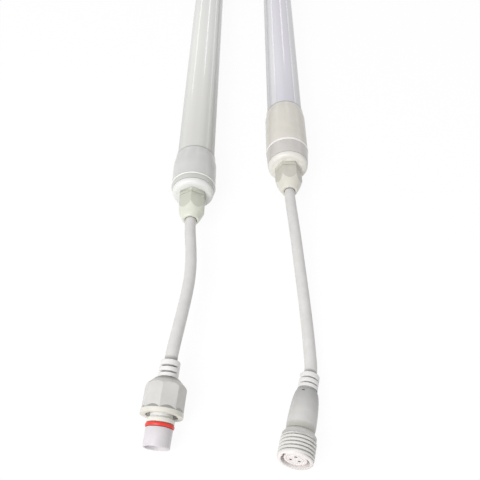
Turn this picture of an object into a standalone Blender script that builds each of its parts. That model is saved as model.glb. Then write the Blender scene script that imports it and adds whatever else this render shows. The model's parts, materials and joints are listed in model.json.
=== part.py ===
"""Pair of sealed LED light tubes, one showing its plug lead and the other its socket lead.

Metres, +Z up. Both tubes lie along Y on the plane Z = 0, and the origin is under the middle of the pair.
The two tubes are the same product turned end for end: the near end of the plug tube carries the plug lead,
and the near end of the socket tube carries the socket lead.
"""

import math

import bmesh
import bpy
from mathutils import Vector

MM = 0.001

# Clearances between pieces that touch, and between a lead and the surface it lies on
FIT_GAP = 0.3 * MM
REST_GAP = 0.05 * MM

# Roundness: corners round the axis of large and of small turned pieces, chords in a rounded shoulder,
# steps between two points of a route, and bevel resolution of cords and wires
LARGE_SIDES = 24
SMALL_SIDES = 12
SHOULDER_CHORDS = 3
ROUTE_STEPS = 8
CORD_ROUNDNESS = 3
WIRE_ROUNDNESS = 2

# Diffuser tube, and how the two tubes lie beside each other
TUBE_DIAMETER = 26.0 * MM
TUBE_WALL = 1.0 * MM
TUBE_LENGTH = 540.0 * MM
TUBE_SPACING = 65.0 * MM

# End cap: a sleeve over the tube, a gasket, and a collar that plugs into the sleeve
SLEEVE_WALL = 1.5 * MM
SLEEVE_TAPER_LENGTH = 8.0 * MM
SLEEVE_REAR_EDGE = 0.3 * MM
SPIGOT_LENGTH = 5.8 * MM
SPIGOT_WALL = 2.1 * MM
GASKET_WIDTH = 1.2 * MM
GASKET_PROUD = 0.25 * MM
COLLAR_CHAMFER = 0.2 * MM
PLUG_END_GRIP = 22.5 * MM
PLUG_END_COLLAR = 3.0 * MM
SOCKET_END_GRIP = 38.0 * MM
SOCKET_END_COLLAR = 11.5 * MM

# Cable gland in each cap
FLANGE_SETBACK = 1.3 * MM
FLANGE_THICKNESS = 3.5 * MM
FLANGE_CHAMFER = 1.2 * MM
STEM_LENGTH = 7.0 * MM
HEX_SIDES = 6
CORNER_UP = 0.0
FLAT_UP = math.pi / HEX_SIDES
HEX_ACROSS_FLATS = 16.0 * MM
BASE_HEX_LENGTH = 3.5 * MM
GLAND_THREAD_RADIUS = 6.0 * MM
GLAND_THREAD_LENGTH = 9.5 * MM
NUT_HEX_LENGTH = 12.5 * MM
NUT_DOME_LENGTH = 5.3 * MM
NUT_MOUTH_RIM = 1.25 * MM
SEAL_LENGTH = 3.0 * MM
GLAND_CORD_CLEARANCE = 0.45 * MM

# Carrier, boards and wires inside the diffuser
CARRIER_INSET = 2.0 * MM
CARRIER_SEAT = 3.0 * MM
CARRIER_WEB = 1.4 * MM
CARRIER_LEG = 1.2 * MM
CARRIER_LEG_END = math.radians(-60.0)
BOARD_WIDTH = 12.0 * MM
BOARD_THICKNESS = 1.2 * MM
PLUG_END_BOARD_INSET = 24.0 * MM
SOCKET_END_BOARD_INSET = 58.0 * MM
LED_COUNT = 18
LED_LENGTH = 3.5 * MM
LED_WIDTH = 2.8 * MM
LED_HEIGHT = 0.8 * MM
DRIVER_INSET = 5.0 * MM
DRIVER_PART_WIDTH = 8.0 * MM
DRIVER_PART_SPACING = 2.5 * MM
COIL_SIZE = (10.0 * MM, 7.0 * MM)
CAPACITOR_SIZE = (14.0 * MM, 8.0 * MM)
CHIP_SIZE = (6.0 * MM, 1.5 * MM)
WIRE_DIAMETER = 1.4 * MM
WIRE_SPACING = 1.8 * MM
WIRE_OVERLAP = 3.0 * MM

# Leads: a tail of sheath held in the gland, then the free cord with a point every few diameters
CORD_DIAMETER = 7.0 * MM
TAIL_DEPTH = 1.0 * MM
CORD_DIAMETERS_PER_POINT = 2.0

# Routes of the free cords: millimetres to the right of the gland, towards it, and above the floor
PLUG_CORD_ROUTE = (
    (0.0, -0.3, 15.05), (0.0, -3.3, 15.05), (0.4, -11.0, 15.05), (1.2, -19.0, 15.05), (1.9, -27.5, 15.1),
    (2.35, -35.7, 15.2), (2.35, -43.7, 15.3), (1.9, -51.7, 15.45), (1.1, -59.7, 15.6), (0.1, -67.7, 15.75),
    (-0.9, -75.2, 15.9), (-1.95, -82.7, 16.0), (-3.0, -90.2, 15.97), (-3.92, -97.35, 15.79),
    (-4.2, -100.3, 15.36),
)
SOCKET_CORD_ROUTE = (
    (0.0, -0.3, 15.05), (0.0, -3.3, 15.05), (0.4, -11.5, 14.75), (1.1, -20.5, 14.1), (1.8, -30.0, 13.3),
    (2.5, -39.5, 12.4), (3.1, -48.5, 11.4), (3.7, -57.5, 10.4), (4.3, -66.5, 9.4), (4.9, -75.5, 8.4),
    (5.45, -84.5, 7.5), (5.9, -93.5, 6.7), (6.25, -101.5, 6.1), (6.5, -109.5, 5.6), (6.6, -117.5, 5.3),
    (6.42, -126.6, 5.07), (5.75, -129.5, 5.39),
)
PLUG_HEADING = math.radians(-5.4)
PLUG_NOSE_DOWN = math.radians(8.5)
SOCKET_HEADING = math.radians(-13.0)

# Ribbed strain relief moulded on the rear of both connectors
BOOT_RADIUS = 5.4 * MM
BOOT_RIBS = 3
BOOT_RIB_LENGTH = 2.4 * MM
BOOT_GROOVE_LENGTH = 1.1 * MM
BOOT_GROOVE_DEPTH = 1.4 * MM

# Plug: a nose with an O-ring, and a coupling nut with flats that turns freely on its neck
NECK_RADIUS = 5.9 * MM
NECK_LENGTH = 20.8 * MM
STOP_FLANGE_RADIUS = 7.2 * MM
STOP_FLANGE_LENGTH = 2.35 * MM
NOSE_LENGTH = 9.45 * MM
NOSE_RADIUS = 7.0 * MM
NOSE_TAPER = 0.15 * MM
NOSE_WALL = 0.8 * MM
NOSE_DEPTH = 8.0 * MM
O_RING_WIDTH = 1.7 * MM
O_RING_RADIUS = 7.5 * MM
O_RING_SEAT_RADIUS = 6.1 * MM
O_RING_SQUEEZE = 0.2 * MM
PIN_RADIUS = 0.75 * MM
PIN_CIRCLE = 2.5 * MM
PIN_COUNT = 3
PIN_RECESS = 1.4 * MM
PIN_SEAT_DEPTH = 3.0 * MM
COUPLING_SIDES = 8
COUPLING_HALF_FLATS = 10.3 * MM
COUPLING_WALL = 0.8 * MM
COUPLING_REAR_LAND = 0.5 * MM
COUPLING_SHOULDER = 4.6 * MM
COUPLING_REAR_WALL = 2.8 * MM
COUPLING_FLAT_LENGTH = 11.4 * MM
COUPLING_GROOVE = 0.4 * MM
COUPLING_LIP_LENGTH = 2.6 * MM
COUPLING_LIP_RADIUS = 11.1 * MM

# Socket: a swelling grip, and a threaded shell round the contact carrier
GRIP_LENGTH = 23.9 * MM
GRIP_FRONT_RADIUS = 7.65 * MM
SHELL_NECK_LENGTH = 4.4 * MM
SOCKET_THREAD_RADIUS = 9.2 * MM
SOCKET_THREAD_PITCH = 1.88 * MM
SOCKET_THREAD_FLANK = 0.5 * MM
SOCKET_THREAD_DEPTH = 0.9 * MM
SOCKET_THREAD_TURNS = 5
SHELL_RIM_LENGTH = 1.3 * MM
SHELL_RIM_CHAMFER = 0.4 * MM
SHELL_FLOOR = 3.0 * MM
INSERT_CLEARANCE = 0.2 * MM
INSERT_RECESS = 0.9 * MM
CONTACT_WALL = 0.4 * MM
CONTACT_BORE_CLEARANCE = 0.2 * MM
CONTACT_LENGTH = 7.0 * MM
CONTACT_RECESS = 0.6 * MM

# Sizes worked out from the ones above
TUBE_RADIUS = TUBE_DIAMETER / 2
TUBE_BORE = TUBE_RADIUS - TUBE_WALL
SLEEVE_BORE = TUBE_RADIUS + FIT_GAP
SLEEVE_RADIUS = SLEEVE_BORE + SLEEVE_WALL
SPIGOT_RADIUS = SLEEVE_BORE - FIT_GAP
COLLAR_BORE = SPIGOT_RADIUS - SPIGOT_WALL
COLLAR_SHOULDER = FIT_GAP + SPIGOT_LENGTH
GASKET_RADIUS = SLEEVE_RADIUS + GASKET_PROUD
FLANGE_RADIUS = SLEEVE_RADIUS - FLANGE_SETBACK
AXIS_HEIGHT = GASKET_RADIUS
CORD_RADIUS = CORD_DIAMETER / 2
GLAND_BORE = CORD_RADIUS + GLAND_CORD_CLEARANCE
HEX_HALF_FLATS = HEX_ACROSS_FLATS / 2
GLAND_LENGTH = FIT_GAP + FLANGE_THICKNESS + BASE_HEX_LENGTH + FIT_GAP + NUT_HEX_LENGTH + NUT_DOME_LENGTH
PLUG_END_REACH = COLLAR_SHOULDER + PLUG_END_COLLAR + GLAND_LENGTH
SOCKET_END_REACH = COLLAR_SHOULDER + SOCKET_END_COLLAR + GLAND_LENGTH
BOARD_SEAT = -CARRIER_SEAT + FIT_GAP
BOARD_TOP = BOARD_SEAT + BOARD_THICKNESS
BOOT_LENGTH = BOOT_RIBS * BOOT_RIB_LENGTH + (BOOT_RIBS - 1) * BOOT_GROOVE_LENGTH

# The near gland faces lie this far apart along the tubes, so the pair is staggered as it is laid out
NEAR_FACE_STAGGER = 26.3 * MM
PAIR_LENGTH = TUBE_LENGTH + PLUG_END_REACH + SOCKET_END_REACH + NEAR_FACE_STAGGER

# Finishes: colour, roughness and metallic value
FINISHES = {
    "milky_polycarbonate": ((0.74, 0.74, 0.75), 0.15, 0.0),
    "frosted_sleeve": ((0.62, 0.61, 0.60), 0.30, 0.0),
    "white_silicone": ((0.93, 0.91, 0.88), 0.45, 0.0),
    "white_nylon": ((0.86, 0.84, 0.78), 0.40, 0.0),
    "gland_nylon": ((0.68, 0.66, 0.58), 0.40, 0.0),
    "grey_rubber": ((0.35, 0.35, 0.34), 0.70, 0.0),
    "aluminium": ((0.70, 0.71, 0.72), 0.35, 1.0),
    "white_circuit_board": ((0.80, 0.78, 0.86), 0.50, 0.0),
    "wire_sheath": ((0.70, 0.70, 0.70), 0.50, 0.0),
    "cord_sheath": ((0.74, 0.73, 0.73), 0.45, 0.0),
    "moulded_boot": ((0.84, 0.83, 0.82), 0.45, 0.0),
    "coupling_nylon": ((0.68, 0.67, 0.64), 0.40, 0.0),
    "red_silicone": ((0.80, 0.06, 0.03), 0.40, 0.0),
    "nickel": ((0.75, 0.72, 0.66), 0.25, 1.0),
}


def finish(name):
    """The shared material of that name, made the first time that it is asked for."""
    material = bpy.data.materials.get(name)
    if material is None:
        colour, roughness, metallic = FINISHES[name]
        material = bpy.data.materials.new(name)
        material.use_nodes = True
        shader = material.node_tree.nodes["Principled BSDF"]
        shader.inputs["Base Color"].default_value = (*colour, 1.0)
        shader.inputs["Roughness"].default_value = roughness
        shader.inputs["Metallic"].default_value = metallic
        material.diffuse_color = (*colour, 1.0)
    return material


def add_object(name, data, parent):
    item = bpy.data.objects.new(name, data)
    bpy.context.scene.collection.objects.link(item)
    item.parent = parent
    return item


def add_frame(name, parent=None, location=(0.0, 0.0, 0.0), rotation=(0.0, 0.0, 0.0)):
    """An empty that the pieces of one assembly hang on."""
    empty = add_object(name, None, parent)
    empty.location = location
    empty.rotation_euler = rotation
    return empty


def add_mesh(name, builder, finish_name, parent):
    """Turns a finished bmesh into a named object with its material, smooth where it is round."""
    bmesh.ops.recalc_face_normals(builder, faces=builder.faces)
    mesh = bpy.data.meshes.new(name)
    builder.to_mesh(mesh)
    builder.free()
    mesh.materials.append(finish(finish_name))
    mesh.shade_smooth()
    mesh.set_sharp_from_angle(angle=math.radians(35.0))
    return add_object(name, mesh, parent)


def ring_radius(size, flats, angle):
    """Radius at an angle of a circle, or of a polygon with so many flats and that half width across them."""
    if not flats:
        return size
    step = 2 * math.pi / flats
    off_middle = (angle + step / 2) % step - step / 2
    return size / math.cos(off_middle)


def turned(name, outline, finish_name, parent, sides=LARGE_SIDES, first_flat=0.0):
    """A closed solid turned about the frame's Z axis.

    An outline point is (radius, z), or (half width across flats, z, flats) where the section is a polygon.
    An outline that begins and ends on the axis makes a solid piece, any other makes a ring.
    """
    builder = bmesh.new()
    rings = []
    for size, z, *flats in outline:
        if size == 0:
            rings.append([builder.verts.new((0.0, 0.0, z))] * sides)
            continue
        ring = []
        for corner in range(sides):
            angle = 2 * math.pi * corner / sides
            radius = ring_radius(size, flats[0] if flats else 0, angle - first_flat)
            ring.append(builder.verts.new((radius * math.cos(angle), radius * math.sin(angle), z)))
        rings.append(ring)
    if outline[0][0] > 0:
        rings.append(rings[0])
    for ring, following in zip(rings, rings[1:]):
        for corner in range(sides):
            beside = (corner + 1) % sides
            corners = (ring[corner], ring[beside], following[beside], following[corner])
            builder.faces.new(dict.fromkeys(corners))
    return add_mesh(name, builder, finish_name, parent)


def shoulder(start, end):
    """Points between two outline points on a quarter ellipse.

    It leaves the start square to the axis and meets the end along it.
    """
    points = []
    for chord in range(1, SHOULDER_CHORDS):
        turn = math.pi / 2 * chord / SHOULDER_CHORDS
        radius = start[0] + (end[0] - start[0]) * math.sin(turn)
        points.append((radius, start[1] + (end[1] - start[1]) * (1 - math.cos(turn))))
    return points


def extruded(name, outline, start, end, finish_name, parent):
    """A closed solid with a flat outline in X and Y, drawn out along Z."""
    builder = bmesh.new()
    face = builder.faces.new([builder.verts.new((x, y, start)) for x, y in outline])
    drawn = bmesh.ops.extrude_face_region(builder, geom=[face])
    moved = [part for part in drawn["geom"] if isinstance(part, bmesh.types.BMVert)]
    bmesh.ops.translate(builder, verts=moved, vec=(0.0, 0.0, end - start))
    return add_mesh(name, builder, finish_name, parent)


def circuit_board(name, start, rows, part_width, parent):
    """A flat board along Z that carries a row of block-shaped components on its upper side.

    Each row is (length, height): bare board where the height is 0, and a component elsewhere.
    """
    builder = bmesh.new()
    columns = (-BOARD_WIDTH / 2, -part_width / 2, part_width / 2, BOARD_WIDTH / 2)
    stations = [start]
    for length, height in rows:
        stations.append(stations[-1] + length)
    grid = [[builder.verts.new((x, BOARD_SEAT, z)) for x in columns] for z in stations]
    components = []
    for index, (length, height) in enumerate(rows):
        for column in range(3):
            near, far = grid[index], grid[index + 1]
            face = builder.faces.new((near[column], near[column + 1], far[column + 1], far[column]))
            if column == 1 and height > 0:
                components.append((face, height))
    top = list(builder.faces)
    drawn = bmesh.ops.extrude_face_region(builder, geom=top, use_keep_orig=True)
    underside = [part for part in drawn["geom"] if isinstance(part, bmesh.types.BMFace)]
    for row in grid:
        for corner in row:
            corner.co.y = BOARD_TOP
    bmesh.ops.dissolve_faces(builder, faces=underside)
    for face, height in components:
        block = bmesh.ops.extrude_discrete_faces(builder, faces=[face])["faces"][0]
        raised = bmesh.ops.extrude_face_region(builder, geom=[block])
        moved = [part for part in raised["geom"] if isinstance(part, bmesh.types.BMVert)]
        bmesh.ops.translate(builder, verts=moved, vec=(0.0, height, 0.0))
        bmesh.ops.delete(builder, geom=[block], context="FACES_ONLY")
    bmesh.ops.remove_doubles(builder, verts=builder.verts, dist=0.01 * MM)
    return add_mesh(name, builder, "white_circuit_board", parent)


def tube_along(name, points, diameter, resolution, finish_name, parent):
    """A round tube with closed ends along a line of points."""
    curve = bpy.data.curves.new(name, "CURVE")
    curve.dimensions = "3D"
    curve.bevel_depth = diameter / 2
    curve.bevel_resolution = resolution
    curve.use_fill_caps = True
    spline = curve.splines.new("POLY")
    spline.points.add(len(points) - 1)
    for place, point in zip(spline.points, points):
        place.co = (*point, 1.0)
    curve.materials.append(finish(finish_name))
    return add_object(name, curve, parent)


def smooth_points(route, spacing):
    """Points about that far apart on one smooth curve through a route.

    The first and last stretch of the route stay straight, so that each end meets its neighbour squarely.
    """
    knots = [Vector(point) for point in route]
    fine = []
    for before, first, second, after in zip(knots, knots[1:], knots[2:], knots[3:]):
        for step in range(ROUTE_STEPS):
            t = step / ROUTE_STEPS
            slope = second - before
            bend = 2 * before - 5 * first + 4 * second - after
            twist = 3 * first - before - 3 * second + after
            fine.append(first + (slope * t + bend * t**2 + twist * t**3) / 2)
    fine.append(knots[-2])
    lengths = [0.0]
    for first, second in zip(fine, fine[1:]):
        lengths.append(lengths[-1] + (second - first).length)
    count = max(2, round(lengths[-1] / spacing))
    picked = [knots[0]]
    for index in range(count + 1):
        wanted = lengths[-1] * index / count
        nearest = min(range(len(fine)), key=lambda place: abs(lengths[place] - wanted))
        picked.append(fine[nearest])
    return picked + [knots[-1]]


def drill(piece, name, radius, start, end, location, parent, sides=SMALL_SIDES):
    """Cuts a round hole along the frame's Z axis into a piece."""
    outline = [(0.0, start), (radius, start), (radius, end), (0.0, end)]
    cutter = turned(name, outline, "nickel", parent, sides)
    cutter.location = location
    cutter.hide_render = True
    cutter.display_type = "WIRE"
    cut = piece.modifiers.new(name, "BOOLEAN")
    cut.operation = "DIFFERENCE"
    cut.solver = "EXACT"
    cut.object = cutter


def contact_places():
    """Centres of the pins in the plug, which the socket's contacts share."""
    for index in range(PIN_COUNT):
        angle = math.pi / 2 + 2 * math.pi * index / PIN_COUNT
        yield index + 1, (PIN_CIRCLE * math.cos(angle), PIN_CIRCLE * math.sin(angle), 0.0)


def build_cap(tube, end, grip, collar_length, frame, nut_turn):
    """Sleeve, gasket, collar and cable gland of one end. The frame's Z points out of the diffuser."""
    prefix = f"{tube}_{end}"
    rear = -grip
    sleeve_front = COLLAR_SHOULDER - 2 * FIT_GAP - GASKET_WIDTH
    turned(f"{prefix}_sleeve", [
        (SLEEVE_BORE, rear),
        (SLEEVE_BORE + SLEEVE_REAR_EDGE, rear),
        (SLEEVE_RADIUS, rear + SLEEVE_TAPER_LENGTH),
        (SLEEVE_RADIUS, sleeve_front),
        (SLEEVE_BORE, sleeve_front),
    ], "frosted_sleeve", frame)

    gasket_rear = sleeve_front + FIT_GAP
    gasket_front = gasket_rear + GASKET_WIDTH
    turned(f"{prefix}_gasket", [
        (SPIGOT_RADIUS + FIT_GAP, gasket_rear),
        (GASKET_RADIUS - GASKET_PROUD, gasket_rear),
        (GASKET_RADIUS, gasket_rear + GASKET_PROUD),
        (GASKET_RADIUS, gasket_front - GASKET_PROUD),
        (GASKET_RADIUS - GASKET_PROUD, gasket_front),
        (SPIGOT_RADIUS + FIT_GAP, gasket_front),
    ], "white_silicone", frame)

    collar_front = COLLAR_SHOULDER + collar_length
    turned(f"{prefix}_collar", [
        (COLLAR_BORE, FIT_GAP),
        (SPIGOT_RADIUS, FIT_GAP),
        (SPIGOT_RADIUS, COLLAR_SHOULDER),
        (SLEEVE_RADIUS, COLLAR_SHOULDER),
        (SLEEVE_RADIUS, collar_front - COLLAR_CHAMFER),
        (SLEEVE_RADIUS - COLLAR_CHAMFER, collar_front),
        (COLLAR_BORE, collar_front),
    ], "frosted_sleeve", frame)

    flange_rear = collar_front + FIT_GAP
    flange_front = flange_rear + FLANGE_THICKNESS
    hex_front = flange_front + BASE_HEX_LENGTH
    thread_front = hex_front + GLAND_THREAD_LENGTH
    stem_rear = collar_front - STEM_LENGTH
    turned(f"{prefix}_gland_body", [
        (GLAND_BORE, stem_rear),
        (COLLAR_BORE - FIT_GAP, stem_rear),
        (COLLAR_BORE - FIT_GAP, flange_rear),
        (FLANGE_RADIUS, flange_rear),
        (FLANGE_RADIUS, flange_front - FLANGE_CHAMFER),
        (FLANGE_RADIUS - FLANGE_CHAMFER, flange_front),
        (HEX_HALF_FLATS, flange_front, HEX_SIDES),
        (HEX_HALF_FLATS, hex_front, HEX_SIDES),
        (GLAND_THREAD_RADIUS, hex_front),
        (GLAND_THREAD_RADIUS, thread_front),
        (GLAND_BORE, thread_front),
    ], "white_nylon", frame, first_flat=nut_turn)

    nut_rear = hex_front + FIT_GAP
    dome_rear = nut_rear + NUT_HEX_LENGTH
    nut_front = dome_rear + NUT_DOME_LENGTH
    nut_bore = GLAND_THREAD_RADIUS + FIT_GAP
    mouth = GLAND_BORE + NUT_MOUTH_RIM
    seal_front = thread_front + FIT_GAP + SEAL_LENGTH
    seal_stop = seal_front + FIT_GAP
    turned(f"{prefix}_gland_nut", [
        (nut_bore, nut_rear),
        (HEX_HALF_FLATS, nut_rear, HEX_SIDES),
        (HEX_HALF_FLATS, dome_rear, HEX_SIDES),
        *reversed(shoulder((mouth, nut_front), (HEX_HALF_FLATS, dome_rear))),
        (mouth, nut_front),
        (GLAND_BORE, nut_front),
        (GLAND_BORE, seal_stop),
        (nut_bore, seal_stop),
    ], "gland_nylon", frame, first_flat=nut_turn)

    turned(f"{prefix}_gland_seal", [
        (CORD_RADIUS + FIT_GAP, thread_front + FIT_GAP),
        (GLAND_THREAD_RADIUS, thread_front + FIT_GAP),
        (GLAND_THREAD_RADIUS, seal_front),
        (CORD_RADIUS + FIT_GAP, seal_front),
    ], "grey_rubber", frame, SMALL_SIDES)
    return flange_rear, nut_front


def build_lead_end(lead, frame, flange_rear, nut_front, board_end):
    """Sheath held in a gland, with its wires running in to the board that they are soldered to."""
    tail_rear = flange_rear + TAIL_DEPTH
    turned(f"{lead}_tail", [
        (0.0, tail_rear),
        (CORD_RADIUS, tail_rear),
        (CORD_RADIUS, nut_front),
        (0.0, nut_front),
    ], "cord_sheath", frame, SMALL_SIDES)
    wire_height = BOARD_TOP + FIT_GAP + WIRE_DIAMETER / 2
    wire_end = board_end - WIRE_OVERLAP
    wire_start = tail_rear - FIT_GAP
    middle = (wire_start + wire_end) / 2
    for index in range(PIN_COUNT):
        x = (index - (PIN_COUNT - 1) / 2) * WIRE_SPACING
        points = [(x, 0.0, wire_start), (x, 0.0, middle)]
        points += [(x, wire_height, board_end), (x, wire_height, wire_end)]
        tube_along(f"{lead}_wire_{index + 1}", points, WIRE_DIAMETER, WIRE_ROUNDNESS, "wire_sheath", frame)


def build_tube(tube, frame, lead, lead_end, nut_turn):
    """One light tube, with the inner end of its lead.

    The frame's Z runs towards the plug end, and its Y points up.
    """
    half = TUBE_LENGTH / 2
    turned(f"{tube}_diffuser", [
        (TUBE_BORE, -half),
        (TUBE_RADIUS, -half),
        (TUBE_RADIUS, half),
        (TUBE_BORE, half),
    ], "milky_polycarbonate", frame)

    outer = TUBE_BORE - FIT_GAP
    inner = outer - CARRIER_LEG
    web_under = -CARRIER_SEAT - CARRIER_WEB
    arc_steps = 4
    side = []
    for step in range(arc_steps + 1):
        angle = math.asin(-CARRIER_SEAT / outer)
        angle += (CARRIER_LEG_END - angle) * step / arc_steps
        side.append((outer * math.cos(angle), outer * math.sin(angle)))
    for step in range(arc_steps + 1):
        angle = math.asin(web_under / inner)
        angle += (CARRIER_LEG_END - angle) * (arc_steps - step) / arc_steps
        side.append((inner * math.cos(angle), inner * math.sin(angle)))
    profile = side + [(-x, y) for x, y in reversed(side)]
    extruded(f"{tube}_heat_sink", profile, CARRIER_INSET - half, half - CARRIER_INSET, "aluminium", frame)

    board_start = SOCKET_END_BOARD_INSET - half
    board_end = half - PLUG_END_BOARD_INSET
    bare = (board_end - board_start - LED_COUNT * LED_LENGTH) / (LED_COUNT + 1)
    leds = [(bare, 0.0)] + [(LED_LENGTH, LED_HEIGHT), (bare, 0.0)] * LED_COUNT
    circuit_board(f"{tube}_led_board", board_start, leds, LED_WIDTH, frame)

    components = []
    for size in (COIL_SIZE, CAPACITOR_SIZE, CHIP_SIZE):
        components += [size, (DRIVER_PART_SPACING, 0.0)]
    wire_pads = SOCKET_END_BOARD_INSET - DRIVER_INSET - FIT_GAP - sum(length for length, height in components)
    driver_start = DRIVER_INSET - half
    driver = [(wire_pads, 0.0)] + components
    circuit_board(f"{tube}_driver_board", driver_start, driver, DRIVER_PART_WIDTH, frame)

    caps = {
        "plug_end": (half, 0.0, PLUG_END_GRIP, PLUG_END_COLLAR, PLUG_END_BOARD_INSET),
        "socket_end": (-half, math.pi, SOCKET_END_GRIP, SOCKET_END_COLLAR, DRIVER_INSET),
    }
    for end, (place, turn, grip, collar_length, board_inset) in caps.items():
        cap = add_frame(f"{tube}_{end}_frame", frame, (0.0, 0.0, place), (0.0, turn, 0.0))
        flange_rear, nut_front = build_cap(tube, end, grip, collar_length, cap, nut_turn)
        if end == lead_end:
            build_lead_end(lead, cap, flange_rear, nut_front, -board_inset)


def build_cord(lead, route, frame):
    """The free cord of a lead, from the gland's face to the connector."""
    knots = [[value * MM for value in point] for point in route]
    points = smooth_points(knots, CORD_DIAMETERS_PER_POINT * CORD_DIAMETER)
    tube_along(f"{lead}_cord", points, CORD_DIAMETER, CORD_ROUNDNESS, "cord_sheath", frame)


def boot_outline():
    """Outside of the ribbed strain relief, from the axis at the cord up to the front of its last rib."""
    outline = [(0.0, 0.0)]
    z = 0.0
    for rib in range(BOOT_RIBS):
        outline += [(BOOT_RADIUS, z), (BOOT_RADIUS, z + BOOT_RIB_LENGTH)]
        z += BOOT_RIB_LENGTH
        if rib < BOOT_RIBS - 1:
            waist = BOOT_RADIUS - BOOT_GROOVE_DEPTH
            outline += [(waist, z), (waist, z + BOOT_GROOVE_LENGTH)]
            z += BOOT_GROOVE_LENGTH
    return outline


def build_plug(frame):
    """Plug on its lead. The frame's Z points out of the nose, from the rear face of the boot."""
    turned("plug_boot", boot_outline() + [(0.0, BOOT_LENGTH)], "moulded_boot", frame)

    neck_rear = BOOT_LENGTH + FIT_GAP
    neck_front = neck_rear + NECK_LENGTH
    seat_rear = neck_front + STOP_FLANGE_LENGTH
    seat_front = seat_rear + O_RING_WIDTH + 2 * FIT_GAP
    tip = seat_front + NOSE_LENGTH
    nose_bore = NOSE_RADIUS - NOSE_TAPER - NOSE_WALL
    floor = tip - NOSE_DEPTH
    body = turned("plug_body", [
        (0.0, neck_rear),
        (NECK_RADIUS, neck_rear),
        (NECK_RADIUS, neck_front),
        (STOP_FLANGE_RADIUS, neck_front),
        (STOP_FLANGE_RADIUS, seat_rear),
        (O_RING_SEAT_RADIUS, seat_rear),
        (O_RING_SEAT_RADIUS, seat_front),
        (NOSE_RADIUS, seat_front),
        (NOSE_RADIUS - NOSE_TAPER, tip),
        (nose_bore, tip),
        (nose_bore, floor),
        (0.0, floor),
    ], "white_nylon", frame)
    pin_seat = floor - PIN_SEAT_DEPTH
    for number, place in contact_places():
        pin = turned(f"plug_pin_{number}", [
            (0.0, pin_seat + FIT_GAP),
            (PIN_RADIUS, pin_seat + FIT_GAP),
            (PIN_RADIUS, tip - PIN_RECESS - PIN_RADIUS),
            (PIN_RADIUS / 2, tip - PIN_RECESS),
            (0.0, tip - PIN_RECESS),
        ], "nickel", frame, SMALL_SIDES)
        pin.location = place
        above_floor = floor + PIN_SEAT_DEPTH
        drill(body, f"pin_seat_{number}", PIN_RADIUS + FIT_GAP, pin_seat, above_floor, place, frame)

    ring_rear = seat_rear + FIT_GAP
    ring_front = ring_rear + O_RING_WIDTH
    ring_bore = O_RING_SEAT_RADIUS + FIT_GAP
    crown = (O_RING_RADIUS - ring_bore) / 2
    turned("plug_o_ring", [
        (ring_bore, ring_rear + crown),
        (ring_bore + crown, ring_rear),
        (O_RING_RADIUS, ring_rear + crown),
        (O_RING_RADIUS, ring_front - crown),
        (ring_bore + crown, ring_front),
        (ring_bore, ring_front - crown),
    ], "red_silicone", frame)

    nut_rear = BOOT_LENGTH + 2 * FIT_GAP
    flats_rear = nut_rear + COUPLING_SHOULDER
    flats_front = flats_rear + COUPLING_FLAT_LENGTH
    lip_rear = flats_front + COUPLING_GROOVE
    lip_front = lip_rear + COUPLING_LIP_LENGTH
    hole = NECK_RADIUS + FIT_GAP
    land = (hole + COUPLING_REAR_LAND, nut_rear)
    bore = COUPLING_HALF_FLATS - COUPLING_WALL
    turned("plug_coupling_nut", [
        (hole, nut_rear),
        land,
        *shoulder(land, (COUPLING_HALF_FLATS, flats_rear)),
        (COUPLING_HALF_FLATS, flats_rear, COUPLING_SIDES),
        (COUPLING_HALF_FLATS, flats_front, COUPLING_SIDES),
        (COUPLING_HALF_FLATS - COUPLING_GROOVE, flats_front),
        (COUPLING_HALF_FLATS - COUPLING_GROOVE, lip_rear),
        (COUPLING_LIP_RADIUS, lip_rear),
        (COUPLING_LIP_RADIUS, lip_front),
        (bore + COUPLING_GROOVE, lip_front),
        (bore, lip_front - COUPLING_GROOVE),
        (bore, nut_rear + COUPLING_REAR_WALL),
        (hole, nut_rear + COUPLING_REAR_WALL),
    ], "coupling_nylon", frame, first_flat=math.pi / COUPLING_SIDES)


def plug_frame_height():
    """Height of the boot's rear face when the coupling nut rests on the floor with its nose down."""
    corner = COUPLING_HALF_FLATS / math.cos(math.pi / COUPLING_SIDES)
    flats_front = BOOT_LENGTH + 2 * FIT_GAP + COUPLING_SHOULDER + COUPLING_FLAT_LENGTH
    lip_front = flats_front + COUPLING_GROOVE + COUPLING_LIP_LENGTH
    drops = []
    for radius, distance in ((corner, flats_front), (COUPLING_LIP_RADIUS, lip_front)):
        drops.append(radius * math.cos(PLUG_NOSE_DOWN) + distance * math.sin(PLUG_NOSE_DOWN))
    return max(drops) + REST_GAP


def socket_thread_rear():
    """Distance from the boot's rear face to the first thread of the socket's shell."""
    return BOOT_LENGTH + GRIP_LENGTH + FIT_GAP + SHELL_NECK_LENGTH


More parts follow.
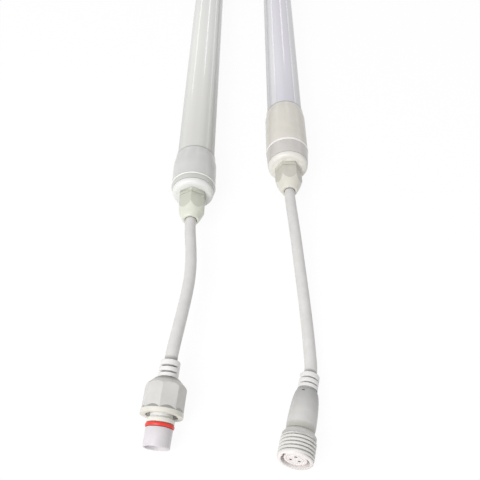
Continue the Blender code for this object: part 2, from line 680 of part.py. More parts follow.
def build_socket(frame):
    """Socket on its lead. The frame's Z points out of the mouth, from the rear face of the boot."""
    grip_front = BOOT_LENGTH + GRIP_LENGTH
    waist = BOOT_RADIUS - BOOT_GROOVE_DEPTH
    grip_rear = (BOOT_RADIUS, BOOT_LENGTH + BOOT_GROOVE_LENGTH)
    turned("socket_boot", boot_outline() + [
        (waist, BOOT_LENGTH),
        (waist, BOOT_LENGTH + BOOT_GROOVE_LENGTH),
        grip_rear,
        *shoulder(grip_rear, (GRIP_FRONT_RADIUS, grip_front)),
        (GRIP_FRONT_RADIUS, grip_front),
        (0.0, grip_front),
    ], "moulded_boot", frame)

    shell_rear = grip_front + FIT_GAP
    thread_rear = socket_thread_rear()
    thread_front = thread_rear + SOCKET_THREAD_TURNS * SOCKET_THREAD_PITCH
    mouth = thread_front + SHELL_RIM_LENGTH
    root = SOCKET_THREAD_RADIUS - SOCKET_THREAD_DEPTH
    bore = O_RING_RADIUS - O_RING_SQUEEZE
    floor = shell_rear + SHELL_FLOOR
    outline = [(0.0, shell_rear), (GRIP_FRONT_RADIUS, shell_rear), (root, thread_rear)]
    for turn in range(SOCKET_THREAD_TURNS):
        z = thread_rear + turn * SOCKET_THREAD_PITCH
        outline += [
            (SOCKET_THREAD_RADIUS, z + SOCKET_THREAD_FLANK),
            (SOCKET_THREAD_RADIUS, z + SOCKET_THREAD_PITCH - SOCKET_THREAD_FLANK),
            (root, z + SOCKET_THREAD_PITCH),
        ]
    outline += [
        (root, mouth - SHELL_RIM_CHAMFER),
        (root - SHELL_RIM_CHAMFER, mouth),
        (bore, mouth),
        (bore, floor),
        (0.0, floor),
    ]
    turned("socket_shell", outline, "coupling_nylon", frame)

    insert_rear = floor + FIT_GAP
    insert_front = mouth - INSERT_RECESS
    insert_radius = NOSE_RADIUS - NOSE_TAPER - NOSE_WALL - INSERT_CLEARANCE
    insert = turned("socket_insert", [
        (0.0, insert_rear),
        (insert_radius, insert_rear),
        (insert_radius, insert_front),
        (0.0, insert_front),
    ], "white_nylon", frame)
    contact_bore = PIN_RADIUS + CONTACT_BORE_CLEARANCE
    contact_radius = contact_bore + CONTACT_WALL
    contact_front = insert_front - CONTACT_RECESS
    contact_rear = contact_front - CONTACT_LENGTH
    for number, place in contact_places():
        contact = turned(f"socket_contact_{number}", [
            (contact_bore, contact_rear),
            (contact_radius, contact_rear),
            (contact_radius, contact_front),
            (contact_bore, contact_front),
        ], "nickel", frame, SMALL_SIDES)
        contact.location = place
        hole_rear = contact_rear - FIT_GAP
        hole_front = insert_front + INSERT_RECESS
        drill(insert, f"contact_hole_{number}", contact_radius + FIT_GAP, hole_rear, hole_front, place, frame)


def connector_frame(name, lead_frame, route, heading, nose_down, height):
    """Frame of a connector at the end of its cord's route, standing on the floor."""
    x, y, z = route[-1]
    place = (x * MM + FIT_GAP * math.sin(heading), y * MM - FIT_GAP * math.cos(heading), height)
    return add_frame(name, lead_frame, place, (math.pi / 2 + nose_down, 0.0, heading))


for item in list(bpy.data.objects):
    bpy.data.objects.remove(item)

# The plug tube lies on the left, with its near gland face at the front of the pair
plug_face = -PAIR_LENGTH / 2
plug_middle = plug_face + PLUG_END_REACH + TUBE_LENGTH / 2
plug_tube = add_frame(
    "plug_tube_frame", None, (-TUBE_SPACING / 2, plug_middle, AXIS_HEIGHT), (math.pi / 2, 0.0, 0.0)
)
build_tube("plug_tube", plug_tube, "plug_lead", "plug_end", CORNER_UP)
plug_lead = add_frame("plug_lead_frame", None, (-TUBE_SPACING / 2, plug_face, 0.0))
build_cord("plug_lead", PLUG_CORD_ROUTE, plug_lead)
plug_height = plug_frame_height()
plug = connector_frame("plug_frame", plug_lead, PLUG_CORD_ROUTE, PLUG_HEADING, PLUG_NOSE_DOWN, plug_height)
build_plug(plug)

# The socket tube lies on the right, turned end for end, and its socket rests on its boot and first thread
socket_face = plug_face + NEAR_FACE_STAGGER
socket_middle = socket_face + SOCKET_END_REACH + TUBE_LENGTH / 2
socket_tube = add_frame(
    "socket_tube_frame", None, (TUBE_SPACING / 2, socket_middle, AXIS_HEIGHT), (math.pi / 2, 0.0, math.pi)
)
build_tube("socket_tube", socket_tube, "socket_lead", "socket_end", FLAT_UP)
socket_lead = add_frame("socket_lead_frame", None, (TUBE_SPACING / 2, socket_face, 0.0))
build_cord("socket_lead", SOCKET_CORD_ROUTE, socket_lead)
first_crest = socket_thread_rear() + SOCKET_THREAD_FLANK
socket_nose_up = math.atan2(SOCKET_THREAD_RADIUS - BOOT_RADIUS, first_crest)
socket_height = BOOT_RADIUS * math.cos(socket_nose_up) + REST_GAP
socket = connector_frame(
    "socket_frame", socket_lead, SOCKET_CORD_ROUTE, SOCKET_HEADING, -socket_nose_up, socket_height
)
build_socket(socket)
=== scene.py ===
"""Looks of a pair of sealed LED light tubes, one with a plug on its lead and the other with a socket.

Metres, +Z up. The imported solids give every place, and the pieces below take the place of those that show.
"""

import json
import math
from types import SimpleNamespace

import bmesh
import bpy
from mathutils import Matrix, Vector


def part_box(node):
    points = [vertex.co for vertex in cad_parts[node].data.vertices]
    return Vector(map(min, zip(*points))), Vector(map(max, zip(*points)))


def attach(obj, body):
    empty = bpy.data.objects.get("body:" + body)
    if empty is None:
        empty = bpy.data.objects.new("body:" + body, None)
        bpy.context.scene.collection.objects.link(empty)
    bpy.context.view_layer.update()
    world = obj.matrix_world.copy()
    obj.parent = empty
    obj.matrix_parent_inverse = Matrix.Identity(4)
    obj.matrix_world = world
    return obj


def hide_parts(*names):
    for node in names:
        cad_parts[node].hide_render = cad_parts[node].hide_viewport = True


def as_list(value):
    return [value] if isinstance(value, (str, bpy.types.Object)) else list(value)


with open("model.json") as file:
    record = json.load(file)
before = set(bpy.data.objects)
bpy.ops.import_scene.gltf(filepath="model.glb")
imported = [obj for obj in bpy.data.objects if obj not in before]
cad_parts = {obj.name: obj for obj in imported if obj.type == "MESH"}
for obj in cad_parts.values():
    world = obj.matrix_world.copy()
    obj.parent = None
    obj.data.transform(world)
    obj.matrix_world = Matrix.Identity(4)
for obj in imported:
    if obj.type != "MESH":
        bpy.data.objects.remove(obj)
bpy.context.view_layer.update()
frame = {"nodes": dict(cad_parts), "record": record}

# Carrier: a bare aluminium profile that slides into the tube, holds the boards and takes their heat.
# It is extruded through a die, which leaves fine bright lines along its length.
MM = 0.001
TUBES = ("plug_tube", "socket_tube")
DIE_LINE = 0.6 * MM
DIE_STRETCH = 0.01


def linear(code):
    """Linear colour of an sRGB hex code."""
    values = []
    for place in (0, 2, 4):
        level = int(code[place:place + 2], 16) / 255
        values.append(level / 12.92 if level <= 0.04045 else ((level + 0.055) / 1.055) ** 2.4)
    return (*values, 1.0)


def link(material, source, socket):
    """Links a socket to an output, or to the first output of a node."""
    output = source.outputs[0] if isinstance(source, bpy.types.Node) else source
    material.node_tree.links.new(output, socket)


def add_node(material, kind, values, links):
    """Adds a node, sets its values and links its inputs to other nodes.

    The stops of a colour ramp are pairs of a position and a colour code.
    """
    node = material.node_tree.nodes.new(kind)
    for name, value in values.items():
        if name == "stops":
            first, *between, last = value
            stops = node.color_ramp.elements
            for stop, (position, code) in zip(stops, (first, last)):
                stop.position = position
                stop.color = linear(code)
            for position, code in between:
                stops.new(position).color = linear(code)
        elif isinstance(name, str) and hasattr(node, name):
            setattr(node, name, value)
        else:
            node.inputs[name].default_value = value
    for name, source in links.items():
        link(material, source, node.inputs[name])
    return node


def new_material(name):
    """An empty material, its shader and the place on the piece that its patterns follow."""
    material = bpy.data.materials.new(name)
    material.use_nodes = True
    shader = material.node_tree.nodes["Principled BSDF"]
    place = add_node(material, "ShaderNodeTexCoord", {}, {}).outputs["Object"]
    return material, shader, place


def set_surface(material, shader, colour, heights, roughness, strength, depth):
    """Gives a shader its colour, and its range of roughness and its relief from one pattern of heights."""
    low, high = roughness
    polish = add_node(material, "ShaderNodeMapRange", {"To Min": low, "To Max": high}, {"Value": heights})
    relief = add_node(
        material, "ShaderNodeBump", {"Strength": strength, "Distance": depth}, {"Height": heights}
    )
    link(material, colour, shader.inputs["Base Color"])
    link(material, polish, shader.inputs["Roughness"])
    link(material, relief, shader.inputs["Normal"])


# Extruded aluminium, bare: a soft metal shine that the die lines break up across the profile.
aluminium, shader, place = new_material("extruded_aluminium")
shader.inputs["Metallic"].default_value = 1.0
stretched = add_node(aluminium, "ShaderNodeMapping", {"Scale": (1.0, DIE_STRETCH, 1.0)}, {"Vector": place})
lines = add_node(
    aluminium, "ShaderNodeTexNoise", {"Scale": 1 / DIE_LINE, "Detail": 2.0}, {"Vector": stretched}
)
tint = add_node(
    aluminium, "ShaderNodeValToRGB", {"stops": ((0.0, "c4c6c9"), (1.0, "dcdee0"))}, {"Fac": lines}
)
set_surface(aluminium, shader, tint, lines, (0.28, 0.45), 0.3, 0.02 * MM)
for tube in TUBES:
    frame["nodes"][f"{tube}_heat_sink"].material_slots[0].material = aluminium


# LED boards: strips of white board with a row of surface-mounted LEDs, each soldered to two pads.
# The board is routed from a panel, and a package is a moulded cup filled with yellow phosphor gel.
BOARD_THICKNESS = 1.2 * MM
BOARD_EDGE = 0.15 * MM
LED_COUNT = 18
LED_SIZE = (2.8 * MM, 3.5 * MM, 0.8 * MM)
LED_EDGE = 0.08 * MM
LED_RIM = 0.4 * MM
LED_CUP_DEPTH = 0.25 * MM
PAD_SIZE = (2.2 * MM, 1.1 * MM, 0.06 * MM)
PAD_EDGE = 0.02 * MM
# Reach of the painted shade in grooves and corners.
CORNER_SHADE_REACH = 2.0 * MM


def moulded(name, pale, shaded, cloud, grain, depth, roughness, corner_shade="77756f"):
    """Moulded plastic: faint clouds from its flow, the fine grain of the mould's wall, and painted shade.

    The cloud, the grain and its depth are in millimetres, and the roughness is the two ends of its range. The
    painted shade darkens grooves and corners by their ambient occlusion, towards the corner shade colour.
    """
    material, shader, place = new_material(name)
    clouds = add_node(
        material, "ShaderNodeTexNoise", {"Scale": 1 / (cloud * MM), "Detail": 3.0}, {"Vector": place}
    )
    tint = add_node(material, "ShaderNodeValToRGB", {"stops": ((0.3, shaded), (0.7, pale))}, {"Fac": clouds})
    grains = add_node(
        material, "ShaderNodeTexNoise", {"Scale": 1 / (grain * MM), "Detail": 2.0}, {"Vector": place}
    )
    # Painted shade: ambient occlusion darkens grooves and corners towards the corner shade colour.
    corners = add_node(material, "ShaderNodeAmbientOcclusion", {"samples": 8, "Distance": CORNER_SHADE_REACH}, {})
    unshaded_share = add_node(
        material, "ShaderNodeMapRange", {"From Min": 0.1, "From Max": 0.75}, {"Value": corners.outputs["AO"]}
    )
    corner_shaded = add_node(
        material, "ShaderNodeMixRGB", {"Color1": linear(corner_shade)}, {"Fac": unshaded_share, "Color2": tint}
    )
    set_surface(material, shader, corner_shaded, grains, roughness, 0.5, depth * MM)
    return material


def block(low, high, rounding):
    """A box between two corners with its edges rounded."""
    bpy.ops.object.select_all(action="DESELECT")
    bpy.ops.mesh.primitive_cube_add(size=1.0, location=(low + high) / 2, scale=high - low)
    bpy.ops.object.transform_apply()
    bpy.ops.object.mode_set(mode="EDIT")
    bpy.ops.mesh.bevel(offset=rounding, segments=2, affect="EDGES")
    bpy.ops.object.mode_set(mode="OBJECT")
    return bpy.context.object


def select_faces(piece, wanted):
    """Selects the faces of a piece in edit mode that a test of their middle and normal picks out."""
    shape = bmesh.from_edit_mesh(piece.data)
    bpy.ops.mesh.select_all(action="DESELECT")
    for face in shape.faces:
        face.select_set(wanted(face.calc_center_median(), face.normal))
    bmesh.update_edit_mesh(piece.data)


def paint_faces(piece, materials, pick):
    """Gives a piece its materials, and each face the one that a test of its middle and normal numbers."""
    for material in materials:
        piece.data.materials.append(material)
    bpy.ops.object.mode_set(mode="EDIT")
    for number in range(1, len(materials)):
        select_faces(piece, lambda middle, normal: pick(middle, normal) == number)
        piece.active_material_index = number
        bpy.ops.object.material_slot_assign()
    bpy.ops.object.mode_set(mode="OBJECT")


def join(pieces):
    """Joins pieces into the first of them."""
    bpy.ops.object.select_all(action="DESELECT")
    for piece in pieces:
        piece.select_set(True)
    bpy.context.view_layer.objects.active = pieces[0]
    bpy.ops.object.join()
    return pieces[0]


def fit(piece, material, body, node):
    """Names a finished piece, gives it its material and lets it take the place of its solid on a body."""
    piece.name = f"{node}_dressed"
    if material:
        piece.data.materials.clear()
        piece.data.materials.append(material)
    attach(piece, body)
    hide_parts(node)


# LED package: glossy white thermoplastic round a cup of pale yellow gel, with dull tin-plated pads.
package = moulded("white_led_package", "f4f3ee", "ebeae4", 2, 0.15, 0.004, (0.3, 0.4))
phosphor = moulded("phosphor_gel", "f3e08a", "e8d06c", 0.6, 0.1, 0.004, (0.2, 0.35))
tin = moulded("tin_plating", "c9cbcd", "b4b6b8", 0.8, 0.1, 0.01, (0.35, 0.5))
tin.node_tree.nodes["Principled BSDF"].inputs["Metallic"].default_value = 1.0

# White solder mask, sprayed and cured: an even satin coat with a faint lilac cast.
mask = moulded("white_solder_mask", "e2dfec", "d8d4e4", 12, 0.3, 0.006, (0.35, 0.5))

for tube in TUBES:
    node = f"{tube}_led_board"
    low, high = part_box(node)
    board_top = low.z + BOARD_THICKNESS
    board = block(low, Vector((high.x, high.y, board_top)), BOARD_EDGE)
    board.data.materials.append(mask)
    width, length = LED_SIZE[:2]
    centre_x = (low.x + high.x) / 2
    corner = Vector((centre_x - width / 2, low.y, board_top))
    led = block(corner, corner + Vector(LED_SIZE), LED_EDGE)
    led.data.materials.append(package)
    led.data.materials.append(phosphor)
    bpy.ops.object.mode_set(mode="EDIT")
    select_faces(led, lambda middle, normal: normal.z > 0.99)
    bpy.ops.mesh.inset(thickness=LED_RIM)
    bpy.ops.mesh.extrude_region_move(TRANSFORM_OT_translate={"value": (0.0, 0.0, -LED_CUP_DEPTH)})
    led.active_material_index = 1
    bpy.ops.object.material_slot_assign()
    bpy.ops.object.mode_set(mode="OBJECT")
    gap = (high.y - low.y - LED_COUNT * length) / (LED_COUNT + 1)
    pad_half = Vector((PAD_SIZE[0] / 2, PAD_SIZE[1] / 2, 0.0))
    pad_height = Vector((0.0, 0.0, PAD_SIZE[2]))
    pieces = [board]
    for count in range(LED_COUNT):
        start = gap + count * (gap + length)
        copy = led.copy()
        copy.data = led.data.copy()
        bpy.context.collection.objects.link(copy)
        copy.location.y = start
        pieces.append(copy)
        for led_end in (low.y + start, low.y + start + length):
            pad_middle = Vector((centre_x, led_end, board_top))
            pad = block(pad_middle - pad_half, pad_middle + pad_half + pad_height, PAD_EDGE)
            pad.data.materials.append(tin)
            pieces.append(pad)
    bpy.data.objects.remove(led)
    fit(join(pieces), None, tube, node)


# Driver boards: a short board at the socket end of each tube with the parts that set the LEDs' current.
# It has the same white mask, and its solids already have the coil, the capacitor and the chip.
for tube in TUBES:
    frame["nodes"][f"{tube}_driver_board"].material_slots[0].material = mask


# Diffusers: milky polycarbonate tubes that hide the LEDs and shut them in all round.
# Each is extruded in one length and cut square, so it is glossy with faint lines along it.
TUBE_WALL = 1.0 * MM
TUBE_EDGE = 0.15 * MM
FLOW_LINE = 5.0 * MM
FLOW_STRETCH = 0.008
BOARD_SHADOW_HALF_WIDTH = 6.2 * MM
BOARD_SHADOW_BLUR = 1.6 * MM
END_SHADE_LENGTH = 120.0 * MM
SIDE_SHADE_FULL = 0.15
SIDE_SHADE_NONE = 0.7
# Each tube's two tints, then the tint of its board's painted shadow and the painted dark edge round it.
TUBE_TINTS = {
    "plug_tube": ("f1f1ee", "ebebe8", "fefdfd", "fcfbfb"),
    "socket_tube": ("eae9ed", "e4e3e7", "f3f0fa", "e8e5ee"),
}
SIDES = 96
EDGE_ANGLE = math.radians(35.0)


def turned(sections, bored, sides=SIDES):
    """Draws a circle out along Z from section to section, each a radius and a height.

    A bored piece is closed from its last section back to its first. Any other has a face at both ends.
    """
    bpy.ops.object.select_all(action="DESELECT")
    fill = "NOTHING" if bored else "NGON"
    bpy.ops.mesh.primitive_circle_add(vertices=sides, radius=sections[0][0], fill_type=fill)
    bpy.ops.object.mode_set(mode="EDIT")
    bpy.ops.transform.translate(value=(0.0, 0.0, sections[0][1]))
    for (radius, height), (wider, higher) in zip(sections, sections[1:]):
        bpy.ops.mesh.extrude_region_move(TRANSFORM_OT_translate={"value": (0.0, 0.0, higher - height)})
        growth = wider / radius
        bpy.ops.transform.resize(value=(growth, growth, 1.0), center_override=(0.0, 0.0, higher))
    if bored:
        bpy.ops.mesh.select_mode(type="EDGE")
        bpy.ops.mesh.select_all(action="DESELECT")
        bpy.ops.mesh.select_non_manifold()
        bpy.ops.mesh.bridge_edge_loops()
    bpy.ops.mesh.select_all(action="SELECT")
    bpy.ops.mesh.normals_make_consistent(inside=False)
    bpy.ops.object.mode_set(mode="OBJECT")
    return bpy.context.object


def soften(piece, width):
    """Rounds the sharp edges of a piece and shades its round faces smooth."""
    rounding = piece.modifiers.new("rounding", "BEVEL")
    rounding.width = width
    rounding.segments = 3
    rounding.limit_method = "ANGLE"
    rounding.angle_limit = EDGE_ANGLE
    bpy.ops.object.modifier_apply(modifier="rounding")
    bpy.ops.object.shade_smooth_by_angle(angle=EDGE_ANGLE)


def ring(bore, radius, rear, front, rounding, sides=SIDES):
    """A plain ring or tube with rounded edges."""
    piece = turned([(bore, rear), (radius, rear), (radius, front), (bore, front)], True, sides)
    soften(piece, rounding)
    return piece


def set_on_axis(piece, point, direction, aside=(0.0, 0.0)):
    """Turns a piece's Z along a direction with its Y upwards, and sets its origin on or aside of a point."""
    turn = direction.to_track_quat("Z", "Y").to_matrix().to_4x4()
    piece.matrix_world = Matrix.Translation(point) @ turn @ Matrix.Translation((*aside, 0.0))
    bpy.ops.object.transform_apply()


def milky_polycarbonate(tube, pale, shaded, board_shadow_tint, edge):
    """Extruded polycarbonate with a white filler, under a clear gloss skin.

    It scatters the light, so the board behind shows only as a painted shadow: a faint band of another tint
    along the top, with a painted dark edge, plainest near the caps. Painted shade greys the tube low on its
    sides and towards its caps, and the die leaves lines along it.
    """
    material, shader, place = new_material(f"{tube}_milky_polycarbonate")
    shader.inputs["IOR"].default_value = 1.58
    stretched = add_node(
        material, "ShaderNodeMapping", {"Scale": (1.0, FLOW_STRETCH, 1.0)}, {"Vector": place}
    )
    flow = add_node(
        material, "ShaderNodeTexNoise", {"Scale": 1 / FLOW_LINE, "Detail": 2.0}, {"Vector": stretched}
    )
    tint = add_node(material, "ShaderNodeValToRGB", {"stops": ((0.3, shaded), (0.7, pale))}, {"Fac": flow})
    low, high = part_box(f"{tube}_diffuser")
    middle = (low + high) / 2
    radius = (high.x - low.x) / 2
    centred = add_node(
        material, "ShaderNodeMapping", {"Location": (-middle.x, 0.0, -middle.z)}, {"Vector": place}
    )
    split = add_node(material, "ShaderNodeSeparateXYZ", {}, {"Vector": centred})
    across, along, lift = (
        add_node(material, "ShaderNodeMath", {"operation": "ABSOLUTE"}, {0: split.outputs[axis]})
        for axis in "XYZ"
    )
    near_end = add_node(
        material, "ShaderNodeMapRange", {"From Min": high.y - END_SHADE_LENGTH, "From Max": high.y},
        {"Value": along},
    )
    from_edge = add_node(
        material, "ShaderNodeMapRange",
        {"From Min": BOARD_SHADOW_HALF_WIDTH - BOARD_SHADOW_BLUR, "From Max": BOARD_SHADOW_HALF_WIDTH + BOARD_SHADOW_BLUR}, {"Value": across},
    )
    # Painted shadow of the board along the top, with a painted dark edge.
    band = add_node(
        material, "ShaderNodeValToRGB", {"stops": ((0.3, board_shadow_tint), (0.55, edge), (0.85, "ffffff"))},
        {"Fac": from_edge},
    )
    above = add_node(
        material, "ShaderNodeMath", {"operation": "GREATER_THAN", 1: 0.0}, {0: split.outputs["Z"]}
    )
    plainness = add_node(material, "ShaderNodeMapRange", {"To Min": 0.4, "To Max": 1.0}, {"Value": near_end})
    share = add_node(material, "ShaderNodeMath", {"operation": "MULTIPLY"}, {0: above, 1: plainness})
    banded = add_node(
        material, "ShaderNodeMixRGB", {"blend_type": "MULTIPLY"},
        {"Fac": share, "Color1": tint, "Color2": band},
    )
    # Painted shade towards the caps.
    ended = add_node(
        material, "ShaderNodeMixRGB", {"blend_type": "MULTIPLY", "Color2": linear("e9e9e8")},
        {"Fac": near_end, "Color1": banded},
    )
    # Painted shade low on the sides.
    on_side = add_node(
        material, "ShaderNodeMapRange",
        {
            "From Min": SIDE_SHADE_FULL * radius, "From Max": SIDE_SHADE_NONE * radius,
            "To Min": 1.0, "To Max": 0.0,
        },
        {"Value": lift},
    )
    sided = add_node(
        material, "ShaderNodeMixRGB", {"blend_type": "MULTIPLY", "Color2": linear("dcdcdd")},
        {"Fac": on_side, "Color1": ended},
    )
    set_surface(material, shader, sided, flow, (0.07, 0.13), 0.1, 0.01 * MM)
    return material


axes = {}
for tube in TUBES:
    node = f"{tube}_diffuser"
    low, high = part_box(node)
    radius = (high.x - low.x) / 2
    axes[tube] = Vector(((low.x + high.x) / 2, 0.0, (low.z + high.z) / 2))
    diffuser = ring(radius - TUBE_WALL, radius, low.y, high.y, TUBE_EDGE)
    set_on_axis(diffuser, axes[tube], Vector((0.0, 1.0, 0.0)))
    fit(diffuser, milky_polycarbonate(tube, *TUBE_TINTS[tube]), tube, node)


# Sleeves: satin off-white mouldings slipped over the ends of the tube and glued there.
# The rear edge runs out thin on the tube with a painted grey line of shadow, and the wall swells over the
# first few millimetres.
CAPS = (
    ("plug_tube", "plug_end", -1.0),
    ("plug_tube", "socket_end", 1.0),
    ("socket_tube", "socket_end", -1.0),
    ("socket_tube", "plug_end", 1.0),
)
SLEEVE_WALL = 1.5 * MM
SLEEVE_REAR_EDGE = 0.5 * MM
SLEEVE_ROUNDING = 0.12 * MM
SHADOW_LINE = 0.9 * MM
SLEEVE_TAPER = 8.0 * MM
TAPER_STEPS = 10


def at_caps(kind):
    """Where a kind of piece sits at each cap, with its rear and front counted outwards along its tube."""
    for tube, end, outward in CAPS:
        node = f"{tube}_{end}_{kind}"
        low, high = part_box(node)
        rear, front = sorted((low.y * outward, high.y * outward))
        radius = (high.x - low.x) / 2
        yield SimpleNamespace(
            tube=tube, end=end, outward=outward, node=node, rear=rear, front=front, radius=radius
        )


def fit_cap(piece, material, seat, body=None):
    """Sets a piece of a cap on its tube's axis and fits it, on the tube unless another body is given."""
    set_on_axis(piece, axes[seat.tube], Vector((0.0, seat.outward, 0.0)))
    fit(piece, material, body or seat.tube, seat.node)


def by_end(name, tints, *texture):
    """One moulded plastic for each end of a tube, in that end's tints and with the same texture."""
    return {end: moulded(f"{end}_{name}", pale, shaded, *texture) for end, (pale, shaded) in tints.items()}


# Moulded ABS from a satin mould: grey-white with an even soft shine, warmer in the long cap than the short.
SATIN_ABS = (9, 0.35, 0.005, (0.22, 0.32))
CAP_TINTS = {"plug_end": ("d8d8d7", "d0d0cf"), "socket_end": ("e1ddd5", "dad6cd")}
cap_plastic = by_end("satin_abs", CAP_TINTS, *SATIN_ABS)

# Painted shadow: a thin grey band round the rear edge of each sleeve, where it meets the tube.
edge_shadow_paint = moulded("painted_edge_shadow", "b4b2b0", "a6a4a2", 3, 0.2, 0.01, (0.4, 0.6))
for seat in at_caps("sleeve"):
    bore = seat.radius - SLEEVE_WALL
    edge = bore + SLEEVE_REAR_EDGE
    swell_rear = seat.rear + SHADOW_LINE
    sections = [(bore, seat.rear), (edge, seat.rear)]
    for step in range(TAPER_STEPS + 1):
        part = step / TAPER_STEPS
        swell = part * part * (3 - 2 * part)
        sections.append((edge + (seat.radius - edge) * swell, swell_rear + SLEEVE_TAPER * part))
    sections += [(seat.radius, seat.front), (bore, seat.front)]
    sleeve = turned(sections, True)
    soften(sleeve, SLEEVE_ROUNDING)
    paint_faces(sleeve, (cap_plastic[seat.end], edge_shadow_paint), lambda middle, normal: middle.z < swell_rear)
    fit_cap(sleeve, None, seat)


# Gaskets: soft white rings squeezed between each sleeve and its collar, standing a little proud.
# They are moulded silicone, brighter than the plastic round them.
GASKET_WALL = 1.75 * MM
GASKET_BULGE = {"plug_end": 0.0, "socket_end": 0.25 * MM}
GASKET_ROUNDING = 0.35 * MM
silicone = moulded("white_silicone", "fcfbf8", "f8f6f2", 4, 0.25, 0.004, (0.35, 0.5), "ecece9")
for seat in at_caps("gasket"):
    bore = seat.radius - GASKET_WALL
    bulge = GASKET_BULGE[seat.end]
    gasket = ring(bore, seat.radius, seat.rear - bulge, seat.front + bulge, GASKET_ROUNDING)
    fit_cap(gasket, silicone, seat)


# Collars: the fronts of the end caps, the same plastic as the sleeves, with a spigot that is glued into them.
# They taper a little to the front, and the long one is at the socket end, where the driver board needs room.
SPIGOT_RADIUS = 13.0 * MM
SPIGOT_LENGTH = 5.8 * MM
COLLAR_BORE = 10.9 * MM
COLLAR_TAPER = 0.8 * MM
COLLAR_ROUNDING = 0.15 * MM

# Moulded ABS as in the sleeves, from other batches: the short collar is greyer and the long one a trace pink.
COLLAR_TINTS = {"plug_end": ("cecfcb", "c7c8c4"), "socket_end": ("d6d1ce", "cecac6")}
collar_plastic = by_end("collar_abs", COLLAR_TINTS, *SATIN_ABS)
for seat in at_caps("collar"):
    step = seat.rear + SPIGOT_LENGTH
    collar = turned([
        (COLLAR_BORE, seat.rear), (SPIGOT_RADIUS, seat.rear), (SPIGOT_RADIUS, step), (seat.radius, step),
        (seat.radius - COLLAR_TAPER, seat.front), (COLLAR_BORE, seat.front),
    ], True)
    soften(collar, COLLAR_ROUNDING)
    fit_cap(collar, collar_plastic[seat.end], seat)


# Gland bodies: ivory nylon mouldings pressed into the collars, each with a hexagon and a thread for its nut.
# A white ring with a well rounded edge is moulded round them as a flange that seals against the collar.
HEX_SIDES = 6
HEX_HALF_FLATS = 8.0 * MM
HEX_CORNER = HEX_HALF_FLATS / math.cos(math.pi / HEX_SIDES)
STEM_LENGTH = 7.3 * MM
STEM_RADIUS = 10.6 * MM
FLANGE_THICKNESS = 3.5 * MM
FLANGE_SETBACK = COLLAR_TAPER + 0.15 * MM
FLANGE_ROUNDING = 2.9 * MM
BASE_HEX_LENGTH = 3.5 * MM
THREAD_RADIUS = 6.0 * MM
GLAND_BORE = 3.95 * MM
GLAND_EDGE = 0.2 * MM
NUT_TURNS = {"plug_tube": 0.0, "socket_tube": math.pi / HEX_SIDES}
ARC_STEPS = 8
TOUCH = 0.01 * MM


def rounded(start, end):
    """Sections on a quarter ellipse that leaves its start along the axis and meets its end square to it."""
    sections = []
    for step in range(ARC_STEPS + 1):
        turn = math.pi / 2 * step / ARC_STEPS
        radius = end[0] + (start[0] - end[0]) * math.cos(turn)
        sections.append((radius, start[1] + (end[1] - start[1]) * math.sin(turn)))
    return sections


def cut_away(piece, cutter):
    """Cuts a shape out of a piece and removes the cutter."""
    cut = piece.modifiers.new("cut", "BOOLEAN")
    cut.operation = "DIFFERENCE"
    cut.object = cutter
    bpy.ops.object.select_all(action="DESELECT")
    piece.select_set(True)
    bpy.context.view_layer.objects.active = piece
    bpy.ops.object.modifier_apply(modifier="cut")
    bpy.data.objects.remove(cutter)


def milled(piece, flats, half_width, start, end, turn, kept=None):
    """Cuts flats on a turned piece between two heights, with a corner upwards where the turn is 0.

    Where a kept shape is given, nothing is cut inside it.
    """
    corner = half_width / math.cos(math.pi / flats)
    outside = 2 * corner
    cutter = turned([(corner, start), (outside, start), (outside, end), (corner, end)], True, flats)
    cutter.rotation_euler.z = turn
    if kept:
        cut_away(cutter, kept)
    cut_away(piece, cutter)


# Moulded nylon, natural white: a waxy soft shine and a very fine grain, a touch creamier at the long cap.
WAXY = (0.35, 0.48)
FLANGE_TINTS = {"plug_end": ("ececea", "e6e6e4"), "socket_end": ("edebe4", "e6e4dc")}
flange_nylon = by_end("white_nylon", FLANGE_TINTS, 6, 0.3, 0.005, WAXY)

# Moulded nylon, ivory: a cream that is a little darker than the flange, greener at the short cap.
IVORY_TINTS = {"plug_end": ("cfd1c4", "c7c9bc"), "socket_end": ("d1cec4", "c9c6bc")}
ivory_nylon = by_end("ivory_nylon", IVORY_TINTS, 5, 0.3, 0.005, WAXY, "bbbaaf")
for seat, collar_seat in zip(at_caps("gland_body"), at_caps("collar")):
    radius = collar_seat.radius - FLANGE_SETBACK
    flange_rear = seat.rear + STEM_LENGTH
    flange_front = flange_rear + FLANGE_THICKNESS
    hex_front = flange_front + BASE_HEX_LENGTH
    body = turned([
        (GLAND_BORE, seat.rear), (STEM_RADIUS, seat.rear), (STEM_RADIUS, flange_rear), (radius, flange_rear),
        *rounded((radius, flange_front - FLANGE_ROUNDING), (radius - FLANGE_ROUNDING, flange_front)),
        (HEX_CORNER, flange_front), (HEX_CORNER, hex_front),
        (THREAD_RADIUS, hex_front), (THREAD_RADIUS, seat.front), (GLAND_BORE, seat.front),
    ], True)
    milled(body, HEX_SIDES, HEX_HALF_FLATS, flange_front, hex_front + MM, NUT_TURNS[seat.tube])
    soften(body, GLAND_EDGE)
    plastics = (flange_nylon[seat.end], ivory_nylon[seat.end])
    paint_faces(body, plastics, lambda middle, normal: middle.z > flange_front + TOUCH)
    fit_cap(body, None, seat)


# Gland seals: grey rubber bushes that the nut squeezes onto the lead.
# They show only as a ring down the bore of a gland that holds no lead.
SEAL_BORE = 3.8 * MM
SEAL_ROUNDING = 0.3 * MM
rubber = moulded("grey_nitrile_rubber", "6e6e6c", "5f5f5e", 3, 0.2, 0.01, (0.6, 0.75))
for seat in at_caps("gland_seal"):
    seal = ring(SEAL_BORE, seat.radius, seat.rear, seat.front, SEAL_ROUNDING)
    fit_cap(seal, rubber, seat)


